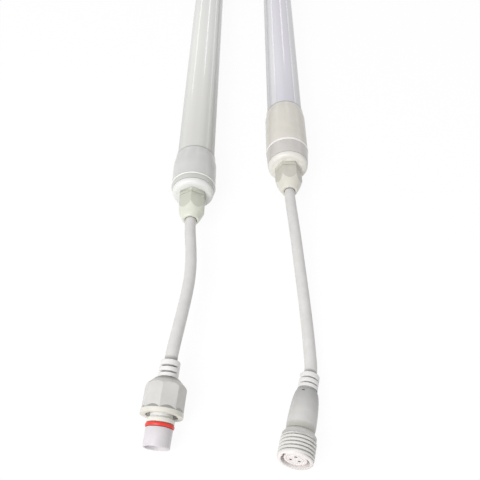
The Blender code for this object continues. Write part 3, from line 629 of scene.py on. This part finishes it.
# Gland nuts: ivory nylon caps with six flats and a domed front, screwed onto the gland bodies.
# The dome is turned across the corners of the hexagon, so each flat ends in an arc.
NUT_DOME = 9.6 * MM
NUT_MOUTH = 5.3 * MM
NUT_MOUTH_BORE = 3.8 * MM
NUT_MOUTH_DEPTH = 2.5 * MM
NUT_BORE = 6.3 * MM
NUT_SHOULDER = 6.4 * MM
NUT_CHAMFER = 0.25 * MM
DOME_STEPS = 12
DOME_ROUNDNESS = 0.3

# Moulded nylon, pale ivory: the dome comes from a polished part of the mould and shines more, and it is
# painted lighter than the flats, as painted light on the faces that look forward.
LIT_DOME_TINTS = {"plug_end": ("e2e4d7", "dadccf"), "socket_end": ("e4e1d7", "dcd9cf")}
lit_dome_nylon = by_end("lit_dome_ivory_nylon", LIT_DOME_TINTS, 5, 0.3, 0.004, (0.25, 0.36), "a3a297")
for seat in at_caps("gland_nut"):
    rear, front = seat.rear, seat.front
    inner = front - NUT_SHOULDER
    mouth_floor = front - NUT_MOUTH_DEPTH
    dome = []
    for step in range(DOME_STEPS + 1):
        part = step / DOME_STEPS
        drop = (1 - DOME_ROUNDNESS) * part + DOME_ROUNDNESS * part * part
        dome.append((HEX_CORNER - (HEX_CORNER - NUT_MOUTH) * drop, front - NUT_DOME * (1 - part)))
    nut = turned([
        (NUT_BORE, rear), (HEX_CORNER - NUT_CHAMFER, rear), (HEX_CORNER, rear + NUT_CHAMFER), *dome,
        (NUT_MOUTH_BORE, front), (NUT_MOUTH_BORE, mouth_floor), (GLAND_BORE, mouth_floor),
        (GLAND_BORE, inner), (NUT_BORE, inner),
    ], True)
    milled(nut, HEX_SIDES, HEX_HALF_FLATS, rear - MM, front + MM, NUT_TURNS[seat.tube])
    soften(nut, GLAND_EDGE)
    # The dome's faces get the paler nylon, as painted light.
    paint_faces(nut, (ivory_nylon[seat.end], lit_dome_nylon[seat.end]), lambda middle, normal: normal.z > 0.1)
    fit_cap(nut, None, seat, seat.node)


# Strain reliefs: soft PVC moulded over the end of each lead, with slots above and below that let it bend.
# The plug's ends behind its coupling nut, and the socket's swells into a grip for the fingers.
JOINTS = frame["record"]["behaviour"]["joints"]
SPIN = next(joint for joint in JOINTS if joint["name"] == "coupling_nut_spin")
plug = SimpleNamespace(
    body="plug_tube", point=Vector(SPIN["pos_m"]), axis=Vector(SPIN["axis"]), pieces=[]
)
RIB_RADIUS = 5.4 * MM
RIB_COUNT = 3
RIB_LENGTH = 2.4 * MM
RIB_GROOVE = 1.1 * MM
RIB_SLOT_DEPTH = 1.9 * MM
RIB_SLOT_WIDTH = 1.2 * MM
FIRST_SLOT = 3.6 * MM
SLOT_PITCH = 3.2 * MM
SLOT_STEEPNESS = 2.5
RIB_EDGE = 0.9 * MM
RIB_STEPS = 56
RIB_SHADE_ANGLE = math.radians(50.0)
WEB_START = 0.55
WEB_END = 0.3
BOOT_LENGTH = RIB_COUNT * RIB_LENGTH + (RIB_COUNT - 1) * RIB_GROOVE


def ribs():
    """Sections of a strain relief before its slots are cut, rounded at the rear."""
    sections = list(reversed(rounded((RIB_RADIUS, RIB_EDGE), (RIB_RADIUS - RIB_EDGE, 0.0))))
    for step in range(1, RIB_STEPS + 1):
        sections.append((RIB_RADIUS, RIB_EDGE + (BOOT_LENGTH - RIB_EDGE) * step / RIB_STEPS))
    return sections


def slot_ribs(boot):
    """Presses the slots between the ribs, above and below, and leaves a web at each side."""
    for corner in boot.data.vertices:
        x, y, z = corner.co
        radius = math.hypot(x, y)
        for slot in range(RIB_COUNT - 1):
            off_slot = abs(z - FIRST_SLOT - slot * SLOT_PITCH) / (RIB_SLOT_WIDTH / 2)
            if off_slot < 1 and radius > 0:
                upright = (abs(y) / radius - WEB_END) / (WEB_START - WEB_END)
                wall = min(1.0, SLOT_STEEPNESS * (1 - off_slot))
                depth = RIB_SLOT_DEPTH * max(0.0, min(1.0, upright)) * wall
                corner.co.xy *= (radius - depth) / radius
    bpy.ops.object.shade_smooth_by_angle(angle=RIB_SHADE_ANGLE)


def fit_on(connector, piece, material, node, aside=(0.0, 0.0), body=None):
    """Sets a piece on its connector's axis or aside of it, and fits it on the connector's body or another."""
    set_on_axis(piece, connector.point, connector.axis, aside)
    fit(piece, material, body or connector.body, node)
    connector.pieces.append(piece)


# Soft PVC, moulded: a clean white with a satin skin and shallow flow marks.
pvc = moulded("moulded_white_pvc", "eeedec", "e8e7e6", 5, 0.3, 0.008, (0.35, 0.5), "a19f9c")
plug_boot = turned(ribs(), False)
slot_ribs(plug_boot)
fit_on(plug, plug_boot, pvc, "plug_boot")


# Plug body: white nylon with a neck for the coupling nut, a stop flange, a seat for the O-ring and a nose.
# The nose is hollow, tapers a little and is rounded at its end, so that it finds its way into a socket.
FIT_GAP = 0.3 * MM
NECK_RADIUS = 5.9 * MM
NECK_REAR = BOOT_LENGTH + FIT_GAP
NECK_FRONT = NECK_REAR + 20.8 * MM
STOP_RADIUS = 7.2 * MM
SEAT_REAR = NECK_FRONT + 2.35 * MM
SEAT_RADIUS = 6.1 * MM
SEAT_FRONT = SEAT_REAR + 2.3 * MM
NOSE_RADIUS = 7.0 * MM
NOSE_TIP = SEAT_FRONT + 9.45 * MM
TIP_RADIUS = 6.85 * MM
NOSE_BORE = 6.05 * MM
NOSE_FLOOR = NOSE_TIP - 8.0 * MM
NOSE_EDGE = 0.3 * MM
plug_body = turned([
    (NECK_RADIUS, NECK_REAR), (NECK_RADIUS, NECK_FRONT), (STOP_RADIUS, NECK_FRONT), (STOP_RADIUS, SEAT_REAR),
    (SEAT_RADIUS, SEAT_REAR), (SEAT_RADIUS, SEAT_FRONT), (NOSE_RADIUS, SEAT_FRONT), (TIP_RADIUS, NOSE_TIP),
    (NOSE_BORE, NOSE_TIP), (NOSE_BORE, NOSE_FLOOR),
], False)
soften(plug_body, NOSE_EDGE)

# Moulded polyamide, cool white: a faint lilac grey beside the cream of the glands, with a soft shine.
NYLON = (5, 0.3, 0.005, (0.3, 0.42))
cool_nylon = moulded("cool_white_nylon", "dedadd", "d6d2d5", *NYLON)

# The same moulding on the stop flange, which has a touch of cream.
cream_nylon = moulded("cream_white_nylon", "e8e7df", "e2e1d8", *NYLON)

# The same moulding on the neck and inside the coupling nut, painted brighter and with paler corners, as
# painted light where light comes in through the white nut.
lit_white_nylon = moulded("painted_light_white_nylon", "faf9f6", "f6f5f2", *NYLON, "f0efea")


def plug_part(middle, normal):
    """Number of the material on a face of the plug body: 1 on the stop flange and 2 on the neck."""
    if middle.z < NECK_FRONT - TOUCH:
        return 2
    return 1 if middle.z < SEAT_REAR + TOUCH else 0


paint_faces(plug_body, (cool_nylon, cream_nylon, lit_white_nylon), plug_part)
fit_on(plug, plug_body, None, "plug_body")


# Pins: three turned brass pins with round tips, nickel plated, moulded into the floor of the nose.
# They stand back from the end of the nose, so that nothing touches them by chance.
PIN_COUNT = 3
PIN_CIRCLE = 2.5 * MM
PIN_RADIUS = 0.75 * MM
PIN_POINT = 0.4 * PIN_RADIUS
PIN_SEAT = NOSE_FLOOR - 2.7 * MM
PIN_TIP = NOSE_TIP - 1.4 * MM
PIN_EDGE = 0.15 * MM
PIN_SIDES = 32


def pin_place(number):
    """Place of a pin across its plug, which the contact of that number shares in its socket."""
    angle = math.pi / 2 + 2 * math.pi * number / PIN_COUNT
    return PIN_CIRCLE * math.cos(angle), PIN_CIRCLE * math.sin(angle)


# Nickel plate on turned brass: a warm grey metal with faint turning marks.
nickel = moulded("nickel_plate", "cfcac0", "bdb8ae", 1.5, 0.12, 0.003, (0.18, 0.3))
nickel.node_tree.nodes["Principled BSDF"].inputs["Metallic"].default_value = 1.0
for number in range(PIN_COUNT):
    outline = [(PIN_RADIUS, PIN_SEAT), (PIN_RADIUS, PIN_TIP - PIN_RADIUS), (PIN_POINT, PIN_TIP)]
    pin = turned(outline, False, PIN_SIDES)
    soften(pin, PIN_EDGE)
    fit_on(plug, pin, nickel, f"plug_pin_{number + 1}", pin_place(number))


# O-ring: a red silicone ring in the seat behind the nose, which seals the plug in its socket.
# It is stretched onto its seat, which flattens its section to an oval.
RING_RADIUS = 7.5 * MM
RING_WIDTH = 2.0 * MM
RING_BORE = SEAT_RADIUS + FIT_GAP
ring_thickness = RING_RADIUS - RING_BORE
bpy.ops.object.select_all(action="DESELECT")
bpy.ops.mesh.primitive_torus_add(
    major_radius=RING_BORE + ring_thickness / 2, minor_radius=ring_thickness / 2,
    major_segments=SIDES, minor_segments=24,
)
o_ring = bpy.context.object
bpy.ops.object.mode_set(mode="EDIT")
bpy.ops.transform.resize(value=(1.0, 1.0, RING_WIDTH / ring_thickness))
bpy.ops.transform.translate(value=(0.0, 0.0, (SEAT_REAR + SEAT_FRONT) / 2))
bpy.ops.object.mode_set(mode="OBJECT")
bpy.ops.object.shade_smooth()

# Red silicone: a clear warm red with a soft shine, and painted shade in its corners.
red_silicone = moulded("red_silicone", "ee4438", "e23a2e", 2, 0.2, 0.006, (0.3, 0.45))
fit_on(plug, o_ring, red_silicone, "plug_o_ring")


# Coupling nut: an off-white nylon nut that turns on the plug's neck and screws onto a socket.
# It is round with eight flats for the fingers, a conical shoulder at the rear and a thread inside its mouth.
COUPLING_REAR = BOOT_LENGTH + 2 * FIT_GAP
COUPLING_HOLE = NECK_RADIUS + FIT_GAP
COUPLING_LAND = COUPLING_HOLE + 0.4 * MM
COUPLING_RADIUS = 11.15 * MM
COUPLING_FLATS = 8
COUPLING_HALF_FLATS = 10.2 * MM
COUPLING_EDGE = 0.5 * MM
FLAT_RUN_OUT = 1.7 * MM
FLAT_SHADE_ANGLE = math.radians(20.0)
SHOULDER_EASE = 0.3
COUPLING_SHOULDER = COUPLING_REAR + 4.3 * MM
FLATS_FRONT = COUPLING_REAR + 15.1 * MM
LIP_REAR = FLATS_FRONT + FLAT_RUN_OUT
LIP_FRONT = COUPLING_REAR + 19.0 * MM
COUPLING_MOUTH = 8.5 * MM
COUPLING_FLOOR = COUPLING_REAR + 2.8 * MM
INNER_THREAD_LENGTH = 9.4 * MM
INNER_THREAD_DEPTH = 0.9 * MM
INNER_THREAD_FRONT = LIP_FRONT - 2.6 * MM
INNER_THREAD_REAR = INNER_THREAD_FRONT - INNER_THREAD_LENGTH
THREAD_TURNS = 5
THREAD_STEPS = 12
THREAD_PITCH = INNER_THREAD_LENGTH / THREAD_TURNS
GROOVE_SHARE = 0.6


def thread_steps(radius, start):
    """Sections of a plain barrel from a start height, close enough together to take the thread."""
    steps = range(THREAD_TURNS * THREAD_STEPS + 1)
    return [(radius, start + step * THREAD_PITCH / THREAD_STEPS) for step in steps]


def press_thread(piece, barrel, depth, start, end):
    """Presses the thread's groove into a barrel between two heights, outwards where the depth is above 0."""
    for corner in piece.data.vertices:
        x, y, z = corner.co
        if abs(corner.co.xy.length - barrel) < TOUCH and start - TOUCH < z < end:
            turns = (z - start) / THREAD_PITCH - math.atan2(y, x) / (2 * math.pi)
            from_groove = min(1.0, abs(turns - round(turns)) / (GROOVE_SHARE / 2))
            groove = 0.5 + 0.5 * math.cos(math.pi * from_groove)
            corner.co.xy *= 1 + depth * groove / barrel


def eased(start, corner, end):
    """Sections on a curve that leaves its start towards a corner and comes to its end from there."""
    start, corner, end = Vector(start), Vector(corner), Vector(end)
    sections = []
    for step in range(ARC_STEPS + 1):
        part = step / ARC_STEPS
        sections.append(tuple(start.lerp(corner, part).lerp(corner.lerp(end, part), part)))
    return sections


shoulder = Vector((COUPLING_RADIUS, COUPLING_SHOULDER))
ease_start = shoulder.lerp(Vector((COUPLING_LAND, COUPLING_REAR)), SHOULDER_EASE)
ease_end = shoulder + Vector((0.0, SHOULDER_EASE * (COUPLING_SHOULDER - COUPLING_REAR)))
coupling_nut = turned([
    (COUPLING_HOLE, COUPLING_REAR), (COUPLING_LAND, COUPLING_REAR), *eased(ease_start, shoulder, ease_end),
    (COUPLING_RADIUS, LIP_FRONT), (COUPLING_MOUTH, LIP_FRONT),
    *reversed(thread_steps(COUPLING_MOUTH, INNER_THREAD_REAR)),
    (COUPLING_MOUTH, COUPLING_FLOOR), (COUPLING_HOLE, COUPLING_FLOOR),
], True)
rise = COUPLING_RADIUS - COUPLING_HALF_FLATS
lip_cone = turned([
    (COUPLING_HALF_FLATS - rise, FLATS_FRONT - FLAT_RUN_OUT),
    (COUPLING_RADIUS + rise, LIP_REAR + FLAT_RUN_OUT),
], False)
milled(coupling_nut, COUPLING_FLATS, COUPLING_HALF_FLATS, COUPLING_REAR - MM, LIP_REAR + MM, 0.0, lip_cone)
soften(coupling_nut, COUPLING_EDGE)
bpy.ops.object.shade_smooth_by_angle(angle=FLAT_SHADE_ANGLE)
press_thread(coupling_nut, COUPLING_MOUTH, INNER_THREAD_DEPTH, INNER_THREAD_REAR, INNER_THREAD_FRONT)

# Moulded nylon, off-white: greyer than the plug's body, with a satin skin, and painted paler on the thin
# lip, as painted light.
SATIN_NYLON = (5, 0.3, 0.006, (0.32, 0.45))
grey_nylon = moulded("off_white_nylon", "d8d6d3", "cfcdca", *SATIN_NYLON)
lit_lip_nylon = moulded("painted_light_lip_nylon", "e3e1d8", "dcdad1", *SATIN_NYLON)

# The same nylon where the flats run out at the lip, painted grey as the shadow that the lip casts.
painted_shadow_nylon = moulded("painted_shadow_nylon", "b2afaa", "a6a39e", 3, 0.3, 0.006, (0.4, 0.55))


def darken_near(material, point, near, far, tint):
    """Paints shade round a point into a material, most within the near distance and none beyond the far one.
    """
    shader = material.node_tree.nodes["Principled BSDF"]
    place = add_node(material, "ShaderNodeTexCoord", {}, {}).outputs["Object"]
    away = add_node(material, "ShaderNodeVectorMath", {"operation": "DISTANCE", 1: tuple(point)}, {0: place})
    share = add_node(
        material, "ShaderNodeMapRange", {"From Min": near, "From Max": far, "To Min": 1.0, "To Max": 0.0},
        {"Value": away.outputs["Value"]},
    )
    plain = shader.inputs["Base Color"].links[0].from_socket
    tinted = add_node(
        material, "ShaderNodeMixRGB", {"blend_type": "MULTIPLY", "Color2": linear(tint)},
        {"Fac": share, "Color1": plain},
    )
    link(material, tinted, shader.inputs["Base Color"])


# Painted shade on the rear of the nut, round where it meets the boot.
rear_middle = plug.point + plug.axis * COUPLING_REAR
darken_near(grey_nylon, rear_middle, COUPLING_LAND, COUPLING_LAND + 2.6 * MM, "9fa09a")


def coupling_part(middle, normal):
    """Number of the material on a face of the coupling nut: 1 on its lip, 2 where flats run out, 3 inside."""
    if middle.z > COUPLING_FLOOR and middle.xy.length < COUPLING_MOUTH + INNER_THREAD_DEPTH + 0.05 * MM:
        return 3
    if middle.z > FLATS_FRONT - 0.1 * MM and normal.z < -0.3:
        return 2
    return 1 if middle.z > LIP_REAR else 0


# Painted shadow where the flats run out, and painted light inside the nut.
paint_faces(coupling_nut, (grey_nylon, lit_lip_nylon, painted_shadow_nylon, lit_white_nylon), coupling_part)
fit_on(plug, coupling_nut, None, "plug_coupling_nut", body="coupling_nut")


# Socket boot: the same ribs, then a grip that swells to the width of the threaded shell.
# It is moulded over the shell's rear and the lead in one shot, and a small vent pit is left behind the ribs.
GRIP_RADIUS = 7.65 * MM
GRIP_REAR = BOOT_LENGTH + RIB_GROOVE
GRIP_GROOVE = 5.1 * MM
GRIP_WAIST = 7.3 * MM
GRIP_FRONT = BOOT_LENGTH + 23.9 * MM
GRIP_CREST = GRIP_FRONT - 3.5 * MM
VENT_WIDTH = 1.6 * MM
VENT_REAR = GRIP_REAR + 1.7 * MM
VENT_FRONT = VENT_REAR + 0.8 * MM
VENT_FLOOR = 5.3 * MM
VENT_EDGE = 0.2 * MM
VENT_ANGLE = math.radians(110.0)
SHELL_REAR = GRIP_FRONT + FIT_GAP
THREAD_REAR = SHELL_REAR + 4.4 * MM
THREAD_FRONT = THREAD_REAR + THREAD_TURNS * THREAD_PITCH
SHELL_MOUTH = THREAD_FRONT + 1.3 * MM
RIM_MIDDLE = 7.6 * MM
RIM = next(mount for mount in frame["record"]["mounts"] if mount["name"] == "socket_rim")
socket = SimpleNamespace(body="socket_tube", axis=Vector(RIM["axis"]), pieces=[])
rim_across = Vector((0.0, 0.0, 1.0)).cross(socket.axis).normalized()
socket.point = Vector(RIM["pos_m"]) - socket.axis * SHELL_MOUTH - rim_across * RIM_MIDDLE


def cut_pocket(piece, width, inner, outer, rear, front, rounding, angle):
    """Cuts a rounded pocket into a turned piece between two radii and two heights, at an angle round it."""
    cutter = block(Vector((inner, -width / 2, rear)), Vector((outer, width / 2, front)), rounding)
    cutter.rotation_euler.z = angle
    cut_away(piece, cutter)


swell = rounded((GRIP_RADIUS, GRIP_CREST), (RIB_RADIUS, GRIP_REAR))
socket_boot = turned([
    *ribs(), (GRIP_GROOVE, BOOT_LENGTH), (GRIP_GROOVE, GRIP_REAR), *reversed(swell), (GRIP_WAIST, SHELL_REAR),
], False)
cut_pocket(socket_boot, VENT_WIDTH, VENT_FLOOR, GRIP_RADIUS, VENT_REAR, VENT_FRONT, VENT_EDGE, VENT_ANGLE)
slot_ribs(socket_boot)

# Soft PVC, moulded: the grip is painted greyer than the ribs, and darker still behind them and at the
# shell, all as painted shade.
shaded_grip_pvc = moulded("grip_pvc_painted_shade", "d4d3d1", "cbcac7", 5, 0.3, 0.008, (0.35, 0.48), "a5a49b")
darken_near(shaded_grip_pvc, socket.point + socket.axis * GRIP_REAR, RIB_RADIUS, 16 * MM, "d6d6d8")
darken_near(shaded_grip_pvc, socket.point + socket.axis * GRIP_FRONT, GRIP_WAIST, GRIP_WAIST + 0.9 * MM, "dcdbd2")
paint_faces(socket_boot, (pvc, shaded_grip_pvc), lambda middle, normal: middle.z > BOOT_LENGTH + TOUCH)
fit_on(socket, socket_boot, None, "socket_boot")


# Socket shell: an off-white nylon barrel with a coarse round thread that the coupling nut screws onto.
# The grip is moulded over its collar, and a keyway is cut inside the plain rim at its mouth.
SHELL_FLOOR = SHELL_REAR + 3.0 * MM
SHELL_BORE = 7.3 * MM
SHELL_COLLAR = 8.8 * MM
COLLAR_REAR = SHELL_REAR + 2.2 * MM
THREAD_CREST = 9.2 * MM
THREAD_DEPTH = 1.2 * MM
THREAD_GAP = 0.3 * MM
THREAD_SHADE_ANGLE = math.radians(60.0)
RIM_RADIUS = 8.9 * MM
RIM_CHAMFER = 0.4 * MM
KEYWAY_WIDTH = 2.6 * MM
KEYWAY_RADIUS = 8.2 * MM
KEYWAY_REAR = SHELL_MOUTH - 1.8 * MM
KEYWAY_EDGE = 0.3 * MM
KEYWAY_ANGLE = math.radians(140.0)
socket_shell = turned([
    (GRIP_WAIST, SHELL_REAR), (SHELL_COLLAR, COLLAR_REAR), (SHELL_COLLAR, THREAD_REAR - THREAD_GAP),
    *thread_steps(THREAD_CREST, THREAD_REAR),
    (RIM_RADIUS, THREAD_FRONT + THREAD_GAP), (RIM_RADIUS, SHELL_MOUTH - RIM_CHAMFER),
    (RIM_RADIUS - RIM_CHAMFER, SHELL_MOUTH), (SHELL_BORE, SHELL_MOUTH), (SHELL_BORE, SHELL_FLOOR),
], False)
press_thread(socket_shell, THREAD_CREST, -THREAD_DEPTH, THREAD_REAR, SHELL_MOUTH)
cut_pocket(
    socket_shell, KEYWAY_WIDTH, 0.0, KEYWAY_RADIUS, KEYWAY_REAR, SHELL_MOUTH + MM, KEYWAY_EDGE, KEYWAY_ANGLE
)
bpy.ops.object.shade_smooth_by_angle(angle=THREAD_SHADE_ANGLE)

# Moulded nylon, white: paler than the grip, so the ridges of its thread stand out, and pinkish in the mouth,
# where it is painted lighter with paler corner shade, as painted light through the thin walls.
white_nylon = moulded("bright_white_nylon", "e3e2df", "dbdad6", *NYLON, "aeada7")
lit_mouth_nylon = moulded("pinkish_lit_mouth_nylon", "ece7e5", "e6e0de", 4, 0.3, 0.005, (0.3, 0.42), "d9cfd0")


def shell_part(middle, normal):
    """Number of the material on a face of the shell: 1 on the collar, 2 on the rim and in the mouth."""
    if middle.z < THREAD_REAR - 0.2 * MM and middle.xy.length > SHELL_BORE + 0.2 * MM:
        return 1
    if middle.z > THREAD_FRONT + 0.2 * MM or middle.xy.length < KEYWAY_RADIUS - 0.1 * MM:
        return 2
    return 0


paint_faces(socket_shell, (white_nylon, shaded_grip_pvc, lit_mouth_nylon), shell_part)
fit_on(socket, socket_shell, None, "socket_shell")


# Socket insert: a white nylon plug in the shell that holds the contacts, set back from the mouth.
# It has a hole over each contact and a shallow ring pressed into its face.
INSERT_RADIUS = 5.85 * MM
INSERT_REAR = SHELL_FLOOR + FIT_GAP
INSERT_FRONT = SHELL_MOUTH - 0.9 * MM
INSERT_EDGE = 0.2 * MM
FACE_RING = 4.5 * MM
FACE_RING_BORE = FACE_RING - 0.5 * MM
FACE_RING_FLOOR = INSERT_FRONT - 0.35 * MM
PIN_HOLE = 0.8 * MM
CHAMBER_FRONT = INSERT_FRONT - 0.5 * MM
CHAMBER_REAR = INSERT_FRONT - 7.9 * MM
CONTACT_HOLE = 1.65 * MM
HOLE_SIDES = 48
socket_insert = turned([
    (INSERT_RADIUS, INSERT_REAR), (INSERT_RADIUS, INSERT_FRONT), (FACE_RING, INSERT_FRONT),
    (FACE_RING, FACE_RING_FLOOR), (FACE_RING_BORE, FACE_RING_FLOOR), (FACE_RING_BORE, INSERT_FRONT),
], False)
for number in range(PIN_COUNT):
    hole = turned([
        (CONTACT_HOLE, CHAMBER_REAR), (CONTACT_HOLE, CHAMBER_FRONT), (PIN_HOLE, CHAMBER_FRONT),
        (PIN_HOLE, INSERT_FRONT + MM),
    ], False, HOLE_SIDES)
    hole.location = (*pin_place(number), 0.0)
    cut_away(socket_insert, hole)
soften(socket_insert, INSERT_EDGE)
# The insert takes the mouth's nylon, painted lighter as painted light.
fit_on(socket, socket_insert, lit_mouth_nylon, "socket_insert")


# Contacts: three turned brass sleeves, nickel plated, that take the pins of a plug.
# They sit in the holes of the insert, just below its face.
CONTACT_BORE = 0.95 * MM
CONTACT_RADIUS = 1.35 * MM
CONTACT_FRONT = INSERT_FRONT - 0.6 * MM
CONTACT_REAR = CONTACT_FRONT - 7.0 * MM
CONTACT_EDGE = 0.1 * MM
for number in range(PIN_COUNT):
    contact = ring(CONTACT_BORE, CONTACT_RADIUS, CONTACT_REAR, CONTACT_FRONT, CONTACT_EDGE, PIN_SIDES)
    fit_on(socket, contact, nickel, f"socket_contact_{number + 1}", pin_place(number))


# Lead ends: the sheath of each lead held in its gland, and its three wires running in to the boards.
# They are extruded PVC, and only the end of the sheath can be seen round the edge of the gland's mouth.
TAIL_EDGE = 0.05 * MM
sheath = moulded("extruded_white_pvc", "dedcda", "d5d3d1", 6, 0.25, 0.006, (0.35, 0.48))
WIRE_TINTS = (("1", "d8d8d6", "c8c8c6"), ("2", "5d5f62", "4c4e51"), ("3", "b9b9b7", "a8a8a6"))
LEADS = (("plug_lead", "plug_tube"), ("socket_lead", "socket_tube"))
for number, pale, shaded in WIRE_TINTS:
    insulation = moulded(f"wire_{number}_pvc", pale, shaded, 4, 0.2, 0.004, (0.35, 0.5))
    for lead, tube in LEADS:
        frame["nodes"][f"{lead}_wire_{number}"].material_slots[0].material = insulation
for lead, tube in LEADS:
    node = f"{lead}_tail"
    low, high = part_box(node)
    radius = (high.x - low.x) / 2
    tail = turned([(radius, -high.y), (radius, -low.y)], False)
    soften(tail, TAIL_EDGE)
    set_on_axis(tail, axes[tube], Vector((0.0, -1.0, 0.0)))
    fit(tail, sheath, tube, node)


# Leads: round white cords of extruded PVC over three wires, each from its gland to its connector.
# They are about as stiff as a mains lead, and run in one easy curve to connectors that rest on the floor.
CORD_DIAMETER = 7.0 * MM
PLUG_ROUTE = (
    (0.0, -0.3, 15.05), (0.0, -3.3, 15.05), (0.4, -11.0, 15.05), (1.2, -19.0, 15.05), (1.9, -27.5, 15.1),
    (2.35, -35.7, 15.2), (2.35, -43.7, 15.3), (1.9, -51.7, 15.45), (1.1, -59.7, 15.6), (0.1, -67.7, 15.75),
    (-0.9, -75.2, 15.9), (-1.95, -82.7, 16.0), (-3.0, -90.2, 15.97), (-3.92, -97.35, 15.79),
    (-4.2, -100.3, 15.36),
)
SOCKET_ROUTE = (
    (0.0, -0.3, 15.05), (0.0, -3.3, 15.05), (0.4, -11.5, 14.75), (1.1, -20.5, 14.1), (1.8, -30.0, 13.3),
    (2.5, -39.5, 12.4), (3.1, -48.5, 11.4), (3.7, -57.5, 10.4), (4.3, -66.5, 9.4), (4.9, -75.5, 8.4),
    (5.45, -84.5, 7.5), (5.9, -93.5, 6.7), (6.25, -101.5, 6.1), (6.5, -109.5, 5.6), (6.6, -117.5, 5.3),
    (6.42, -126.6, 5.07), (5.75, -129.5, 5.39),
)

# Painted shade on the same sheath just behind each boot.
for connector in (plug, socket):
    darken_near(sheath, connector.point, CORD_DIAMETER / 2, CORD_DIAMETER / 2 + 0.9 * MM, "bebcbc")


def lay_cord(connector, lead, end, route):
    """The cord of a lead, along a route in millimetres from its gland's face."""
    tube = connector.body
    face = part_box(f"{tube}_{end}_gland_nut")[0].y
    curve = bpy.data.curves.new(f"{lead}_cord_dressed", "CURVE")
    curve.dimensions = "3D"
    curve.bevel_depth = CORD_DIAMETER / 2
    curve.bevel_resolution = 10
    curve.resolution_u = 6
    curve.use_fill_caps = True
    spline = curve.splines.new("BEZIER")
    spline.bezier_points.add(len(route) - 1)
    for knot, (x, y, z) in zip(spline.bezier_points, route):
        knot.co = (axes[tube].x + x * MM, face + y * MM, z * MM)
        knot.handle_left_type = "AUTO"
        knot.handle_right_type = "AUTO"
    cord = bpy.data.objects.new(curve.name, curve)
    bpy.context.collection.objects.link(cord)
    fit(cord, sheath, tube, f"{lead}_cord")
    leaves = tuple(spline.bezier_points[0].co)
    length = sum(math.dist(first, second) * MM for first, second in zip(route, route[1:]))
    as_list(connector.pieces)


lay_cord(plug, "plug_lead", "plug_end", PLUG_ROUTE)
lay_cord(socket, "socket_lead", "socket_end", SOCKET_ROUTE)


# Stage: a plain white floor under soft light, with a lamp in front to the left and long strips beyond the
# tubes. The strips give the tubes their long streaks.
FLOOR_SIZE = 14.0
FLOOR_GAP = 0.1 * MM
FLOOR_GLOW = 0.93
FLOOR_SHADE = (0.08, 0.08, 0.08, 1.0)
AMBIENT = 0.50


def seen_share(material):
    """1 on rays from the camera and on those that gloss or glass passes on to it, and 0 on all others."""
    path = add_node(material, "ShaderNodeLightPath", {}, {}).outputs
    seen = path["Is Camera Ray"]
    for kind in ("Is Glossy Ray", "Is Transmission Ray"):
        seen = add_node(material, "ShaderNodeMath", {"operation": "MAXIMUM"}, {0: seen, 1: path[kind]})
    return seen


bpy.ops.object.select_all(action="DESELECT")
bpy.ops.mesh.primitive_plane_add(size=FLOOR_SIZE, location=(0.0, 0.0, -FLOOR_GAP))
floor = bpy.context.object
floor.name = "floor"
paint = bpy.data.materials.new("white_floor_paint")
paint.use_nodes = True
nodes = paint.node_tree.nodes
nodes.remove(nodes["Principled BSDF"])
floor.data.materials.append(paint)
bounce = add_node(paint, "ShaderNodeBsdfDiffuse", {"Color": linear("eeeeec")}, {})
shadow = add_node(paint, "ShaderNodeBsdfDiffuse", {"Color": FLOOR_SHADE}, {})
glow = add_node(paint, "ShaderNodeEmission", {"Strength": FLOOR_GLOW}, {})
white = add_node(paint, "ShaderNodeAddShader", {}, {0: shadow, 1: glow})
surface = add_node(paint, "ShaderNodeMixShader", {}, {"Fac": seen_share(paint), 1: bounce, 2: white})
link(paint, surface, nodes["Material Output"].inputs["Surface"])

world = bpy.data.worlds.new("studio")
world.use_nodes = True
bpy.context.scene.world = world
level = add_node(
    world, "ShaderNodeMapRange", {"To Min": AMBIENT, "To Max": 1.0}, {"Value": seen_share(world)}
)
background = world.node_tree.nodes["Background"]
background.inputs["Color"].default_value = (1.0, 1.0, 1.0, 1.0)
link(world, level, background.inputs["Strength"])

# Each lamp's name, place, target, width, length and power.
LAMPS = (
    ("key", (-0.45, -0.95, 0.75), (0.0, -0.42, 0.0), 0.6, 0.6, 7.6),
    ("strip_above", (0.60, 5.45, 2.43), (0.0, 5.45, 0.0), 0.35, 6.0, 17.0),
    ("strip_left", (-2.01, 5.2, 1.48), (0.0, 5.2, 0.0), 0.35, 6.0, 11.5),
    ("strip_right", (2.32, 4.4, 0.94), (0.0, 4.4, 0.0), 0.35, 6.0, 8.0),
)
for name, place, target, width, length, power in LAMPS:
    lamp = bpy.data.lights.new(name, "AREA")
    lamp.shape = "RECTANGLE"
    lamp.size = width
    lamp.size_y = length
    lamp.energy = power
    stand = bpy.data.objects.new(name, lamp)
    bpy.context.collection.objects.link(stand)
    stand.location = place
    aim = Vector(target) - Vector(place)
    stand.rotation_euler = aim.to_track_quat("-Z", "X").to_euler()

# Camera: above the leads and looking down along the tubes, as the pair was photographed.
CAMERA_PLACE = (0.00146, -0.5650, 0.29145)
CAMERA_DOWN = math.radians(50.618)
CAMERA_PAN = math.radians(0.5)
camera = bpy.data.cameras.new("camera")
camera.sensor_width = 36.0
camera.lens = 42.75
stand = bpy.data.objects.new("camera", camera)
bpy.context.collection.objects.link(stand)
stand.location = CAMERA_PLACE
stand.rotation_euler = (math.pi / 2 - CAMERA_DOWN, 0.0, CAMERA_PAN)
bpy.context.scene.camera = stand
bpy.context.scene.view_settings.view_transform = "Standard"
